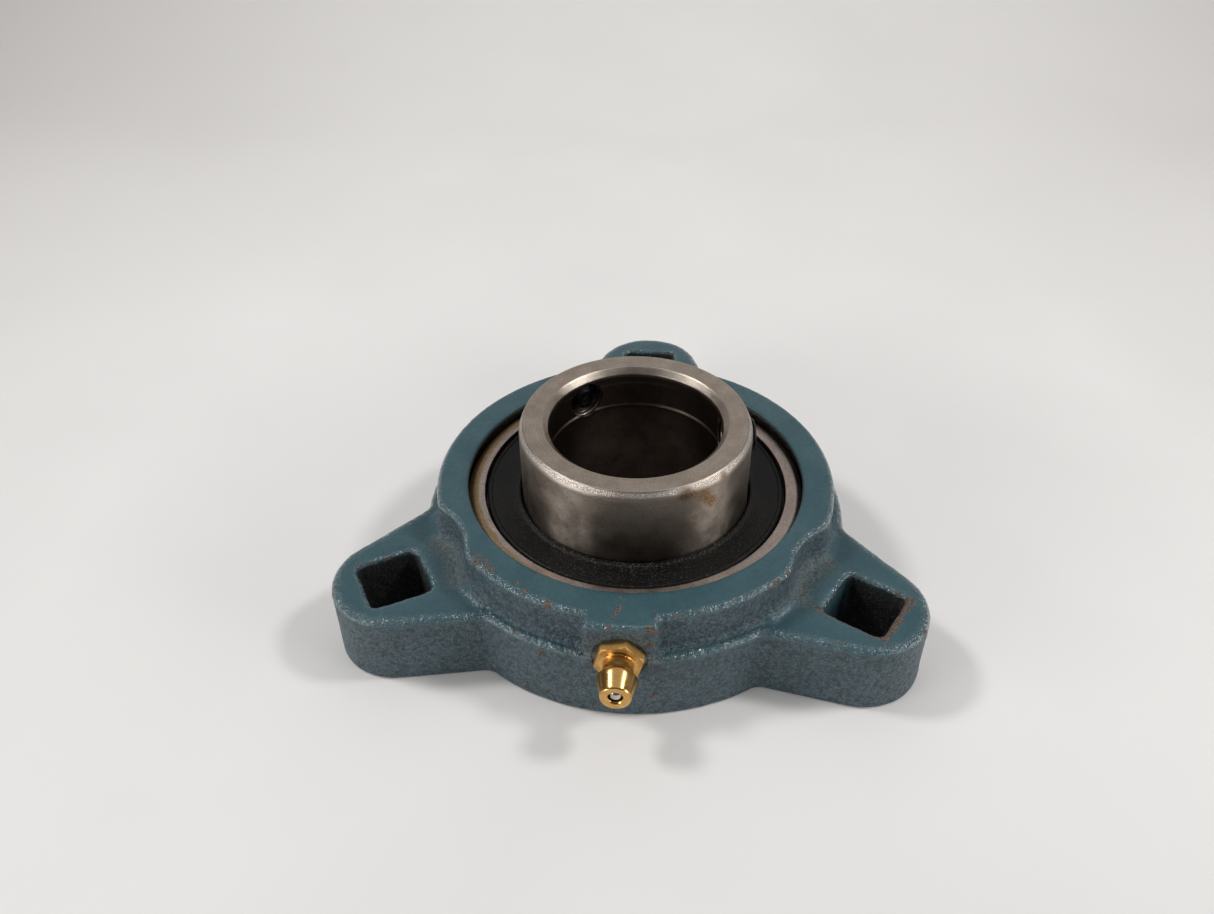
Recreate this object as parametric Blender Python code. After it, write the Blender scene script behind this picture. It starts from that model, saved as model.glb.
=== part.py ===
"""Three-bolt flange mount bearing with square bolt holes.

A cast housing holds a ball bearing insert in a spherical seat, so the insert can align itself to
its shaft. The insert is an outer ring, nine balls in a riveted two-part cage, a long inner ring with
two set screws, and a rubber seal on a steel core on each side. A grease fitting with a sprung check
ball screws into a pad on the housing.

Sizes are in metres. +Z is up, along the shaft, and the mounting face is at z = 0. The origin is under
the middle of the whole object's box, so the shaft's axis stands AXIS_Y behind it.
"""
import math

import bmesh
import bpy
from mathutils import Matrix, Vector

MM = 0.001
GAP = 0.3 * MM                      # clearance kept between pieces that touch on the real object

# Housing
LOWER_RADIUS = 37.5 * MM            # round body of the lower tier
LOWER_TOP = 13.5 * MM
UPPER_RADIUS = 35.2 * MM            # raised rim round the insert
UPPER_TOP = 20.5 * MM
EDGE_CHAMFER = 0.8 * MM
LOBE_COUNT = 3
BOLT_CIRCLE_RADIUS = 45.3 * MM
LOBE_END_RADIUS = 10.5 * MM
LOBE_TAPER = math.radians(19.3)     # each lobe side leans away from the lobe's centre line
LOBE_FILLET = 3.0 * MM
SCALLOP_RADIUS = 12.3 * MM          # room for a bolt head, cut into the raised rim
SQUARE_HOLE = 10.4 * MM             # for a 3/8 in carriage bolt
SQUARE_CORNER = 1.2 * MM
PAD_HALF_WIDTH = 5.9 * MM           # boss that takes the grease fitting
PAD_RADIUS = 37.45 * MM
MOUTH_CHAMFER = 0.7 * MM
LOADING_SLOT_RADIUS = 31.3 * MM     # the insert goes in on edge through two slots in the back
LOADING_SLOT_TOP = 9.9 * MM
LOADING_SLOT_WIDTH = 16.6 * MM
GREASE_GROOVE_LOW = 12.9 * MM       # groove round the seat that feeds the insert's grease hole
GREASE_GROOVE_HIGH = 16.3 * MM
GREASE_GROOVE_DEPTH = 1.0 * MM

# Insert: the 206 size, with a 1-3/16 in bore
CENTRE_Z = 10.4 * MM                # centre of the spherical seat above the mounting face
OUTER_SPHERE_RADIUS = 30.85 * MM
SEAT_RADIUS = OUTER_SPHERE_RADIUS + GAP
RING_HALF_WIDTH = 8.0 * MM
FACE_OUTER_RADIUS = 28.95 * MM
SEAL_POCKET_RADIUS = 26.87 * MM
SEAL_POCKET_DEPTH = 2.0 * MM
OUTER_LAND_RADIUS = 26.0 * MM
BALL_COUNT = 9
BALL_RADIUS = 4.7625 * MM           # 3/8 in balls
PITCH_RADIUS = 23.0 * MM
RACE_CURVE = 4.95 * MM
RACE_CENTRE_SHIFT = 0.1 * MM
INNER_LAND_RADIUS = 20.15 * MM
BORE_RADIUS = 15.08 * MM
BORE_CHAMFER = 1.05 * MM
INNER_FRONT = 22.0 * MM             # long side of the inner ring, from the seat's centre
INNER_BACK = -8.0 * MM
OUTER_BEVEL_WIDTH = 0.65 * MM
OUTER_BEVEL_HEIGHT = 1.5 * MM
RELIEF_RADIUS = 15.4 * MM           # groove in the bore, behind the set screws' points
RELIEF_TOP = 19.0 * MM
RELIEF_BOTTOM = 14.3 * MM
GREASE_HOLE_RADIUS = 1.0 * MM
GREASE_HOLE_HEIGHT = 4.9 * MM       # above the seat's centre, facing the groove

# Cage
CAGE_INNER_RADIUS = 21.5 * MM
CAGE_OUTER_RADIUS = 24.7 * MM
CAGE_SHEET = 0.8 * MM
CAGE_POCKET = BALL_RADIUS + GAP
RIVET_RADIUS = 0.6 * MM
RIVET_HEAD_RADIUS = 1.3 * MM
RIVET_HEAD_HEIGHT = 0.6 * MM

# Seals
SEAL_OUTER_RADIUS = SEAL_POCKET_RADIUS - 0.37 * MM
SEAL_INNER_RADIUS = INNER_LAND_RADIUS + GAP
SEAL_FACE = 7.7 * MM
SEAL_BACK = 6.3 * MM
SEAL_SKIN = 0.6 * MM
SEAL_CORE_SHEET = 0.5 * MM

# Set screws
SCREW_RADIUS = 3.0 * MM
SCREW_HOLE_RADIUS = SCREW_RADIUS + GAP
SCREW_LENGTH = 5.4 * MM
SCREW_INNER_END = 15.5 * MM         # distance of the screw's point from the shaft's axis
SCREW_HEIGHT = 17.0 * MM            # above the seat's centre
SCREW_ANGLES = (math.radians(130.0), math.radians(10.0))
SOCKET_ACROSS_FLATS = 3.2 * MM
SOCKET_DEPTH = 2.6 * MM

# Grease fitting, measured outwards from the pad's face
FITTING_Z = 13.6 * MM
FITTING_HOLE_RADIUS = 3.2 * MM
SPOTFACE_RADIUS = 4.6 * MM          # clears the hexagon's corners by 0.48 mm
SPOTFACE_DEPTH = 1.5 * MM
THREAD_RADIUS = 2.85 * MM
THREAD_END = -5.0 * MM
HEX_ACROSS_FLATS = 7.14 * MM
HEX_TURN = math.radians(-15.0)      # turns a corner to 75 degrees, nearly straight up
HEX_BACK = -1.2 * MM
HEX_FRONT = 1.15 * MM
NECK_RADIUS = 2.45 * MM
NECK_END = 3.5 * MM
HEAD_RADIUS = 3.28 * MM
HEAD_WIDEST = 4.4 * MM
TIP_RADIUS = 2.4 * MM
TIP_END = 7.7 * MM
TIP_HOLE_RADIUS = 1.1 * MM
CHANNEL_RADIUS = 1.75 * MM
CHECK_BALL_RADIUS = 1.3 * MM
CHECK_BALL_PLACE = 6.3 * MM
SPRING_RADIUS = 1.1 * MM
SPRING_WIRE = 0.13 * MM
SPRING_TURNS = 6
SPRING_START = -4.0 * MM
SPRING_END = 4.6 * MM

ROUND_STEPS = 40
AXIS_Y = (LOWER_RADIUS + TIP_END - BOLT_CIRCLE_RADIUS - LOBE_END_RADIUS) / 2
FITTING_DIRECTION = math.radians(270.0)
LOBE_ANGLES = [math.radians(90.0 + 120.0 * k) for k in range(LOBE_COUNT)]

PAINTED_IRON = ((0.045, 0.105, 0.125), 0.0, 0.45)
GROUND_STEEL = ((0.45, 0.42, 0.39), 1.0, 0.35)
BRIGHT_STEEL = ((0.62, 0.61, 0.60), 1.0, 0.2)
CAGE_STEEL = ((0.40, 0.39, 0.37), 1.0, 0.4)
BLACK_RUBBER = ((0.02, 0.02, 0.022), 0.0, 0.6)
BLACK_STEEL = ((0.05, 0.05, 0.055), 1.0, 0.45)
YELLOW_BRASS = ((0.72, 0.45, 0.13), 1.0, 0.3)


# ---------------------------------------------------------------- helpers

def clear_scene():
    """Remove every object that the file opened with."""
    for old in list(bpy.data.objects):
        bpy.data.objects.remove(old, do_unlink=True)


def finish_material(name, finish):
    """A Principled material of one colour, metallic value and roughness."""
    colour, metallic, roughness = finish
    material = bpy.data.materials.new(name)
    material.use_nodes = True
    shader = material.node_tree.nodes["Principled BSDF"]
    shader.inputs["Base Color"].default_value = (*colour, 1.0)
    shader.inputs["Metallic"].default_value = metallic
    shader.inputs["Roughness"].default_value = roughness
    return material


def add_part(name, data, finish, location, parent=None, turn=(0.0, 0.0, 0.0)):
    """Link an object with its own material, placed by its location and rotation."""
    part = bpy.data.objects.new(name, data)
    bpy.context.scene.collection.objects.link(part)
    part.location = location
    part.rotation_euler = turn
    part.parent = parent
    data.materials.append(finish_material(name + "_finish", finish))
    return part


def add_guide(name, data, location, parent=None, turn=(0.0, 0.0, 0.0)):
    """Link a solid that only shapes other parts and is itself left out."""
    guide = bpy.data.objects.new(name, data)
    bpy.context.scene.collection.objects.link(guide)
    guide.location = location
    guide.rotation_euler = turn
    guide.parent = parent
    guide.hide_render = True
    guide.display_type = "WIRE"
    return guide


def add_empty(name, location, turn=(0.0, 0.0, 0.0)):
    """An empty that marks a joint's centre or a fitting's seat."""
    empty = bpy.data.objects.new(name, None)
    bpy.context.scene.collection.objects.link(empty)
    empty.location = location
    empty.rotation_euler = turn
    return empty


def combine(part, guide, operation):
    """Cut or join a part with a guide, and leave the modifier live."""
    modifier = part.modifiers.new(operation.lower(), "BOOLEAN")
    modifier.operation = operation
    modifier.solver = "EXACT"
    modifier.object = guide


def to_mesh(bm, name):
    """Turn a bmesh with outward faces into a mesh, smooth except at its sharp edges."""
    bmesh.ops.remove_doubles(bm, verts=bm.verts, dist=0.001 * MM)
    bmesh.ops.recalc_face_normals(bm, faces=bm.faces)
    mesh = bpy.data.meshes.new(name)
    bm.to_mesh(mesh)
    bm.free()
    mesh.shade_smooth()
    mesh.set_sharp_from_angle(angle=math.radians(30.0))
    return mesh


def turned(name, profile, steps=ROUND_STEPS, ring=True):
    """Spin a profile of (radius, height) points round Z; a ring's profile is a closed loop."""
    bm = bmesh.new()
    verts = [bm.verts.new((radius, 0.0, height)) for radius, height in profile]
    pairs = list(zip(verts, verts[1:]))
    if ring:
        pairs.append((verts[-1], verts[0]))
    edges = [bm.edges.new(pair) for pair in pairs]
    bmesh.ops.spin(bm, geom=verts + edges, cent=(0, 0, 0), axis=(0, 0, 1),
                   angle=2 * math.pi, steps=steps, use_merge=True)
    return to_mesh(bm, name)


def add_prism(bm, outline, low, high):
    """Extrude an outline of (x, y) points from one height to another; returns its upper edges."""
    base = bm.faces.new([bm.verts.new((x, y, low)) for x, y in outline])
    made = bmesh.ops.extrude_face_region(bm, geom=[base])["geom"]
    top = [item for item in made if isinstance(item, bmesh.types.BMVert)]
    bmesh.ops.translate(bm, verts=top, vec=(0, 0, high - low))
    raised = set(top)
    return [item for item in made if isinstance(item, bmesh.types.BMEdge) and set(item.verts) <= raised]


def arc(centre, radius, start, end, count):
    """Points along an arc, both ends included."""
    points = []
    for step in range(count + 1):
        angle = start + (end - start) * step / count
        points.append((centre[0] + radius * math.cos(angle), centre[1] + radius * math.sin(angle)))
    return points


def turn_points(points, angle):
    """Turn (x, y) points about the origin."""
    c = math.cos(angle)
    s = math.sin(angle)
    return [(x * c - y * s, x * s + y * c) for x, y in points]


# ---------------------------------------------------------------- housing

def lobe_points():
    """One lobe along +X: fillet, end arc and fillet, and the angle at which it leaves the body."""
    offset = BOLT_CIRCLE_RADIUS * math.sin(LOBE_TAPER) + LOBE_END_RADIUS + LOBE_FILLET
    along = math.sqrt((LOWER_RADIUS + LOBE_FILLET) ** 2 - offset ** 2)
    normal = Vector((math.sin(LOBE_TAPER), math.cos(LOBE_TAPER)))
    tangent = Vector((math.cos(LOBE_TAPER), -math.sin(LOBE_TAPER)))
    fillet = offset * normal + along * tangent
    leave = math.atan2(fillet.y, fillet.x)
    open_angle = math.pi / 2 - LOBE_TAPER
    upper = arc(fillet, LOBE_FILLET, open_angle + math.pi, leave + math.pi, 3)
    lower = [(x, -y) for x, y in reversed(upper)]
    end = arc((BOLT_CIRCLE_RADIUS, 0.0), LOBE_END_RADIUS, -open_angle, open_angle, 14)
    return lower + end + upper, leave


def lower_outline():
    """Round body with three tapered lobes, anticlockwise."""
    lobe, leave = lobe_points()
    outline = []
    for angle in LOBE_ANGLES:
        outline += turn_points(lobe, angle)
        start = angle + leave
        end = angle + 2 * math.pi / LOBE_COUNT - leave
        outline += arc((0.0, 0.0), LOWER_RADIUS, start, end, 9)[1:-1]
    return outline


def upper_outline():
    """Raised rim: a circle with a scallop beside each bolt hole and the grease fitting's pad."""
    ru = UPPER_RADIUS
    rb = BOLT_CIRCLE_RADIUS
    beta = math.acos((ru ** 2 + rb ** 2 - SCALLOP_RADIUS ** 2) / (2 * ru * rb))
    gamma = math.asin(ru * math.sin(beta) / SCALLOP_RADIUS)
    scallop = arc((rb, 0.0), SCALLOP_RADIUS, math.pi + gamma, math.pi - gamma, 6)
    inner = math.asin(PAD_HALF_WIDTH / ru)
    outer = math.asin(PAD_HALF_WIDTH / PAD_RADIUS)
    outline = []
    for angle in LOBE_ANGLES:
        outline += turn_points(scallop, angle)
        start = angle + beta
        end = angle + 2 * math.pi / LOBE_COUNT - beta
        if start < FITTING_DIRECTION < end:
            outline += arc((0.0, 0.0), ru, start, FITTING_DIRECTION - inner, 6)[1:]
            outline += arc((0.0, 0.0), PAD_RADIUS, FITTING_DIRECTION - outer, FITTING_DIRECTION + outer, 3)
            outline += arc((0.0, 0.0), ru, FITTING_DIRECTION + inner, end, 6)[:-1]
        else:
            outline += arc((0.0, 0.0), ru, start, end, 14)[1:-1]
    return outline


def tier(name, outline, low, high):
    """A prism with its upper edge chamfered."""
    bm = bmesh.new()
    edges = add_prism(bm, outline, low, high)
    bmesh.ops.recalc_face_normals(bm, faces=bm.faces)
    bmesh.ops.bevel(bm, geom=edges, offset=EDGE_CHAMFER, segments=1, profile=0.5, affect="EDGES")
    return to_mesh(bm, name)


def seat_cutter():
    """Everything inside the housing: spherical seat, grease groove and chamfered mouths."""
    half = UPPER_TOP / 2
    over = 1.0 * MM
    low = GREASE_GROOVE_LOW
    high = GREASE_GROOVE_HIGH
    slope = 0.5 * MM

    def wall(height):
        return math.sqrt(SEAT_RADIUS ** 2 - (height - CENTRE_Z) ** 2)

    low_mouth = wall(0.0)
    high_mouth = wall(UPPER_TOP)
    profile = [(0.0, UPPER_TOP + over),
               (high_mouth + MOUTH_CHAMFER + over, UPPER_TOP + over),
               (wall(UPPER_TOP - MOUTH_CHAMFER), UPPER_TOP - MOUTH_CHAMFER),
               (wall(high + 1.6 * MM), high + 1.6 * MM),
               (wall(high), high),
               (wall(high) + GREASE_GROOVE_DEPTH, high - slope),
               (wall(low) + GREASE_GROOVE_DEPTH, low + slope),
               (wall(low), low)]
    for height in (half, 0.75 * half, 0.5 * half, 0.25 * half):
        profile.append((wall(height), height))
    profile += [(low_mouth + 0.2 * MM, 0.4 * MM),
                (low_mouth + 1.2 * MM, -0.8 * MM),
                (0.0, -0.8 * MM)]
    return turned("seat_cutter", profile, ring=False)


def slot_cutter():
    """Two loading slots in the back of the seat, open at the mounting face."""
    half = LOADING_SLOT_WIDTH / 2
    spread = math.asin(half / LOADING_SLOT_RADIUS)
    right = arc((0.0, 0.0), LOADING_SLOT_RADIUS, -spread, spread, 6)
    bm = bmesh.new()
    add_prism(bm, right + turn_points(right, math.pi), -1.0 * MM, LOADING_SLOT_TOP)
    return to_mesh(bm, "slot_cutter")


def bolt_hole_cutter():
    """Three square holes with round corners, each square to its lobe."""
    half = SQUARE_HOLE / 2 - SQUARE_CORNER
    square = []
    for k, (sx, sy) in enumerate(((1, 1), (-1, 1), (-1, -1), (1, -1))):
        start = k * math.pi / 2
        corner = (BOLT_CIRCLE_RADIUS + sx * half, sy * half)
        square += arc(corner, SQUARE_CORNER, start, start + math.pi / 2, 3)
    bm = bmesh.new()
    for angle in LOBE_ANGLES:
        add_prism(bm, turn_points(square, angle), -1.0 * MM, LOWER_TOP + 1.0 * MM)
    return to_mesh(bm, "bolt_hole_cutter")


def fitting_hole_cutter():
    """Stepped hole: a spotface in the pad, then the tapped hole through to the grease groove."""
    profile = [(0.0, 2.0 * MM),
               (SPOTFACE_RADIUS, 2.0 * MM),
               (SPOTFACE_RADIUS, -SPOTFACE_DEPTH),
               (FITTING_HOLE_RADIUS, -SPOTFACE_DEPTH),
               (FITTING_HOLE_RADIUS, -8.0 * MM),
               (0.0, -8.0 * MM)]
    return turned("fitting_hole_cutter", profile, steps=24, ring=False)


def make_housing(fitting_seat):
    """Cast body: two tiers joined, then cut for the insert, the bolts and the grease fitting."""
    place = (0.0, AXIS_Y, 0.0)
    housing = add_part("housing", tier("housing", lower_outline(), 0.0, LOWER_TOP), PAINTED_IRON, place)
    rim = tier("rim_guide", upper_outline(), LOWER_TOP - 4.0 * MM, UPPER_TOP)
    combine(housing, add_guide("rim_guide", rim, place), "UNION")
    combine(housing, add_guide("seat_cutter", seat_cutter(), place), "DIFFERENCE")
    combine(housing, add_guide("slot_cutter", slot_cutter(), place), "DIFFERENCE")
    combine(housing, add_guide("bolt_hole_cutter", bolt_hole_cutter(), place), "DIFFERENCE")
    hole = add_guide("fitting_hole_cutter", fitting_hole_cutter(), (0, 0, 0), fitting_seat)
    combine(housing, hole, "DIFFERENCE")


# ---------------------------------------------------------------- insert

def race_arc(centre_radius, facing, land_radius, count):
    """A ball race's groove as (radius, height) points from the back shoulder to the front one.

    facing is +1 for the outer ring, whose groove lies outside the balls, and -1 for the inner ring.
    """
    reach = math.acos(abs(land_radius - centre_radius) / RACE_CURVE)
    points = []
    for step in range(count + 1):
        angle = -reach + 2 * reach * step / count
        radius = centre_radius + facing * RACE_CURVE * math.cos(angle)
        points.append((radius, RACE_CURVE * math.sin(angle)))
    return points


def sphere_arc(radius, height, count):
    """(radius, height) points on a sphere between -height and height."""
    points = []
    for step in range(count + 1):
        z = -height + 2 * height * step / count
        points.append((math.sqrt(radius ** 2 - z ** 2), z))
    return points


def outer_ring_mesh():
    """Spherical outside, chamfered faces, a pocket for each seal and one ball race."""
    h = RING_HALF_WIDTH
    pocket = h - SEAL_POCKET_DEPTH
    outside = sphere_arc(OUTER_SPHERE_RADIUS, h - 0.7 * MM, 6)
    race = race_arc(PITCH_RADIUS + RACE_CENTRE_SHIFT, 1, OUTER_LAND_RADIUS, 6)
    profile = [(SEAL_POCKET_RADIUS, -h), (FACE_OUTER_RADIUS, -h)]
    profile += outside
    profile += [(FACE_OUTER_RADIUS, h), (SEAL_POCKET_RADIUS, h),
                (SEAL_POCKET_RADIUS, pocket), (OUTER_LAND_RADIUS, pocket)]
    profile += reversed(race)
    profile += [(OUTER_LAND_RADIUS, -pocket), (SEAL_POCKET_RADIUS, -pocket)]
    return turned("outer_ring", profile)


def inner_ring_mesh():
    """Straight sleeve with a ball race, chamfered bore, bevelled end and set screw relief."""
    race = race_arc(PITCH_RADIUS - RACE_CENTRE_SHIFT, -1, INNER_LAND_RADIUS, 6)
    small = 0.5 * MM
    relief_edge = 0.3 * MM
    profile = [(BORE_RADIUS + BORE_CHAMFER, INNER_BACK),
               (INNER_LAND_RADIUS - small, INNER_BACK),
               (INNER_LAND_RADIUS, INNER_BACK + small)]
    profile += race
    profile += [(INNER_LAND_RADIUS, INNER_FRONT - OUTER_BEVEL_HEIGHT),
                (INNER_LAND_RADIUS - OUTER_BEVEL_WIDTH, INNER_FRONT),
                (BORE_RADIUS + BORE_CHAMFER, INNER_FRONT),
                (BORE_RADIUS, INNER_FRONT - BORE_CHAMFER),
                (BORE_RADIUS, RELIEF_TOP + relief_edge),
                (RELIEF_RADIUS, RELIEF_TOP),
                (RELIEF_RADIUS, RELIEF_BOTTOM),
                (BORE_RADIUS, RELIEF_BOTTOM - relief_edge),
                (BORE_RADIUS, INNER_BACK + BORE_CHAMFER)]
    return turned("inner_ring", profile)


def across_insert(angle, radius, height):
    """Place and turn of a piece whose own +Z points from the shaft's axis outwards."""
    place = (radius * math.cos(angle), radius * math.sin(angle), height)
    return place, (0.0, math.pi / 2, angle)


def make_rings(centre):
    """Outer ring with its grease hole, and inner ring with its set screw holes."""
    outer = add_part("outer_ring", outer_ring_mesh(), GROUND_STEEL, (0, 0, 0), centre)
    reach = 4.0 * MM
    r = GREASE_HOLE_RADIUS
    profile = [(0, -reach), (r, -reach), (r, reach), (0, reach)]
    hole = turned("grease_hole_cutter", profile, steps=10, ring=False)
    place, turn = across_insert(FITTING_DIRECTION, SEAL_POCKET_RADIUS + 1.8 * MM, GREASE_HOLE_HEIGHT)
    combine(outer, add_guide("grease_hole_cutter", hole, place, centre, turn), "DIFFERENCE")

    inner = add_part("inner_ring", inner_ring_mesh(), GROUND_STEEL, (0, 0, 0), centre)
    reach = 5.0 * MM
    r = SCREW_HOLE_RADIUS
    profile = [(0, -reach), (r, -reach), (r, reach), (0, reach)]
    hole = turned("screw_hole_cutter", profile, steps=20, ring=False)
    middle = (BORE_RADIUS + INNER_LAND_RADIUS) / 2
    for number, angle in enumerate(SCREW_ANGLES, 1):
        place, turn = across_insert(angle, middle, SCREW_HEIGHT)
        combine(inner, add_guide(f"screw_hole_cutter_{number}", hole, place, centre, turn), "DIFFERENCE")


def make_balls(centre):
    """Nine balls on the pitch circle, each with its origin at its own centre."""
    bm = bmesh.new()
    bmesh.ops.create_uvsphere(bm, u_segments=14, v_segments=9, radius=BALL_RADIUS)
    sphere = to_mesh(bm, "ball")
    for k in range(BALL_COUNT):
        angle = 2 * math.pi * k / BALL_COUNT
        place = (PITCH_RADIUS * math.cos(angle), PITCH_RADIUS * math.sin(angle), 0.0)
        add_part(f"ball_{k + 1}", sphere.copy(), BRIGHT_STEEL, place, centre)


def cage_half_mesh(side):
    """Pressed ribbon: flat between the balls and domed over each one.

    Both skins are heights above the mid plane: the flat web, or the pocket's sphere where that is higher.
    """
    around = 8 * BALL_COUNT
    across = 2
    bm = bmesh.new()
    skins = []
    for flat, dome in ((GAP / 2, CAGE_POCKET), (GAP / 2 + CAGE_SHEET, CAGE_POCKET + CAGE_SHEET)):
        rows = []
        for i in range(around):
            angle = 2 * math.pi * i / around
            nearest = round(angle * BALL_COUNT / (2 * math.pi)) * 2 * math.pi / BALL_COUNT
            row = []
            for j in range(across + 1):
                radius = CAGE_INNER_RADIUS + (CAGE_OUTER_RADIUS - CAGE_INNER_RADIUS) * j / across
                aside = radius * math.sin(angle - nearest)
                beyond = radius * math.cos(angle - nearest) - PITCH_RADIUS
                rise = math.sqrt(max(dome ** 2 - aside ** 2 - beyond ** 2, 0.0))
                height = side * max(flat, rise)
                row.append(bm.verts.new((radius * math.cos(angle), radius * math.sin(angle), height)))
            rows.append(row)
        skins.append(rows)
    for i in range(around):
        n = (i + 1) % around
        for j in range(across):
            for rows in skins:
                bm.faces.new((rows[i][j], rows[n][j], rows[n][j + 1], rows[i][j + 1]))
        for j in (0, across):
            under, over = skins
            bm.faces.new((under[i][j], under[n][j], over[n][j], over[i][j]))
    return to_mesh(bm, "cage_half")


def rivet_profile():
    """Shank with a low dome on each end, from axis to axis."""
    seat = GAP / 2 + CAGE_SHEET + GAP
    dome = [(RIVET_RADIUS, seat), (RIVET_HEAD_RADIUS, seat),
            (0.75 * RIVET_HEAD_RADIUS, seat + 0.75 * RIVET_HEAD_HEIGHT), (0.0, seat + RIVET_HEAD_HEIGHT)]
    return [(r, -z) for r, z in reversed(dome)] + dome


def make_cage(centre):
    """Two ribbon halves and the nine rivets that hold them together between the balls."""
    between = [2 * math.pi * (k + 0.5) / BALL_COUNT for k in range(BALL_COUNT)]
    bm = bmesh.new()
    for angle in between:
        hole = Matrix.Translation((PITCH_RADIUS * math.cos(angle), PITCH_RADIUS * math.sin(angle), 0.0))
        bmesh.ops.create_cone(bm, cap_ends=True, segments=8, radius1=RIVET_RADIUS + GAP,
                              radius2=RIVET_RADIUS + GAP, depth=4 * MM, matrix=hole)
    holes = add_guide("rivet_hole_cutter", to_mesh(bm, "rivet_hole_cutter"), (0, 0, 0), centre)
    for name, side in (("cage_front", 1), ("cage_rear", -1)):
        half = add_part(name, cage_half_mesh(side), CAGE_STEEL, (0, 0, 0), centre)
        combine(half, holes, "DIFFERENCE")
    rivet = turned("rivet", rivet_profile(), steps=8, ring=False)
    for number, angle in enumerate(between, 1):
        place = (PITCH_RADIUS * math.cos(angle), PITCH_RADIUS * math.sin(angle), 0.0)
        add_part(f"cage_rivet_{number}", rivet.copy(), CAGE_STEEL, place, centre)


def make_seals(centre):
    """On each side a rubber seal, channel-shaped in section, with its flat steel core inside."""
    leg = SEAL_FACE - SEAL_SKIN
    lip = SEAL_INNER_RADIUS + 0.8 * MM
    bead = SEAL_OUTER_RADIUS - 0.6 * MM
    rubber = [(SEAL_INNER_RADIUS, SEAL_BACK), (lip, SEAL_BACK), (lip, leg), (bead, leg), (bead, SEAL_BACK),
              (SEAL_OUTER_RADIUS, SEAL_BACK), (SEAL_OUTER_RADIUS, SEAL_FACE - 0.4 * MM),
              (SEAL_OUTER_RADIUS - 0.4 * MM, SEAL_FACE), (SEAL_INNER_RADIUS + 0.2 * MM, SEAL_FACE)]
    core_low = SEAL_BACK
    core_high = core_low + SEAL_CORE_SHEET
    core = [(lip + GAP, core_low), (bead - GAP, core_low), (bead - GAP, core_high), (lip + GAP, core_high)]
    for side, turn in (("front", (0, 0, 0)), ("rear", (math.pi, 0, 0))):
        add_part(f"seal_{side}_rubber", turned("seal_rubber", rubber), BLACK_RUBBER, (0, 0, 0), centre, turn)
        add_part(f"seal_{side}_core", turned("seal_core", core), CAGE_STEEL, (0, 0, 0), centre, turn)


def make_set_screws(centre):
    """Two cup-point socket screws in the long end of the inner ring."""
    r = SCREW_RADIUS
    cup = 0.8 * MM
    body = [(0.0, cup), (1.2 * MM, 0.0), (1.8 * MM, 0.0), (r, 1.0 * MM), (r, SCREW_LENGTH - 0.4 * MM),
            (r - 0.4 * MM, SCREW_LENGTH), (0.0, SCREW_LENGTH)]
    bm = bmesh.new()
    corner = SOCKET_ACROSS_FLATS / math.sqrt(3)
    bmesh.ops.create_cone(bm, cap_ends=True, segments=6, radius1=corner, radius2=corner,
                          depth=2 * SOCKET_DEPTH)
    socket = to_mesh(bm, "socket_cutter")
    for number, angle in enumerate(SCREW_ANGLES, 1):
        place, turn = across_insert(angle, SCREW_INNER_END, SCREW_HEIGHT)
        screw = add_part(f"set_screw_{number}", turned("set_screw", body, steps=20, ring=False),
                         BLACK_STEEL, place, centre, turn)
        cutter = add_guide(f"socket_cutter_{number}", socket, (0, 0, SCREW_LENGTH), screw)
        combine(screw, cutter, "DIFFERENCE")


# ---------------------------------------------------------------- grease fitting

def make_grease_fitting(seat):
    """Brass body with a hexagon, its check ball behind the tip's hole, and the ball's spring."""
    outside = [(0.0, THREAD_END), (THREAD_RADIUS - 0.4 * MM, THREAD_END),
               (THREAD_RADIUS, THREAD_END + 0.4 * MM),
               (THREAD_RADIUS, HEX_BACK + 0.5 * MM), (NECK_RADIUS, HEX_BACK + 1.0 * MM),
               (NECK_RADIUS, NECK_END), (HEAD_RADIUS, HEAD_WIDEST), (TIP_RADIUS, TIP_END - 0.15 * MM),
               (TIP_RADIUS - 0.15 * MM, TIP_END), (0.0, TIP_END)]
    body = add_part("grease_fitting_body", turned("fitting_body", outside, steps=24, ring=False),
                    YELLOW_BRASS, (0, 0, 0), seat)

    corner = HEX_ACROSS_FLATS / math.sqrt(3)
    bm = bmesh.new()
    middle = Matrix.Translation((0, 0, (HEX_BACK + HEX_FRONT) / 2))
    middle = middle @ Matrix.Rotation(HEX_TURN, 4, "Z")
    bmesh.ops.create_cone(bm, cap_ends=True, segments=6, radius1=corner, radius2=corner,
                          depth=HEX_FRONT - HEX_BACK, matrix=middle)
    combine(body, add_guide("hexagon_guide", to_mesh(bm, "hexagon_guide"), (0, 0, 0), seat), "UNION")

    channel = [(0.0, THREAD_END - 1.0 * MM), (TIP_HOLE_RADIUS, THREAD_END - 1.0 * MM),
               (TIP_HOLE_RADIUS, THREAD_END + 0.4 * MM), (CHANNEL_RADIUS, THREAD_END + 0.6 * MM),
               (CHANNEL_RADIUS, TIP_END - 1.1 * MM), (TIP_HOLE_RADIUS, TIP_END - 0.4 * MM),
               (TIP_HOLE_RADIUS, TIP_END + 1.0 * MM), (0.0, TIP_END + 1.0 * MM)]
    bore = turned("channel_cutter", channel, steps=16, ring=False)
    bore = add_guide("channel_cutter", bore, (0, 0, 0), seat)
    combine(body, bore, "DIFFERENCE")

    bm = bmesh.new()
    bmesh.ops.create_uvsphere(bm, u_segments=12, v_segments=8, radius=CHECK_BALL_RADIUS)
    add_part("grease_fitting_ball", to_mesh(bm, "check_ball"), BRIGHT_STEEL, (0, 0, CHECK_BALL_PLACE), seat)
    add_part("grease_fitting_spring", spring_curve(), BRIGHT_STEEL, (0, 0, 0), seat)


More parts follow.
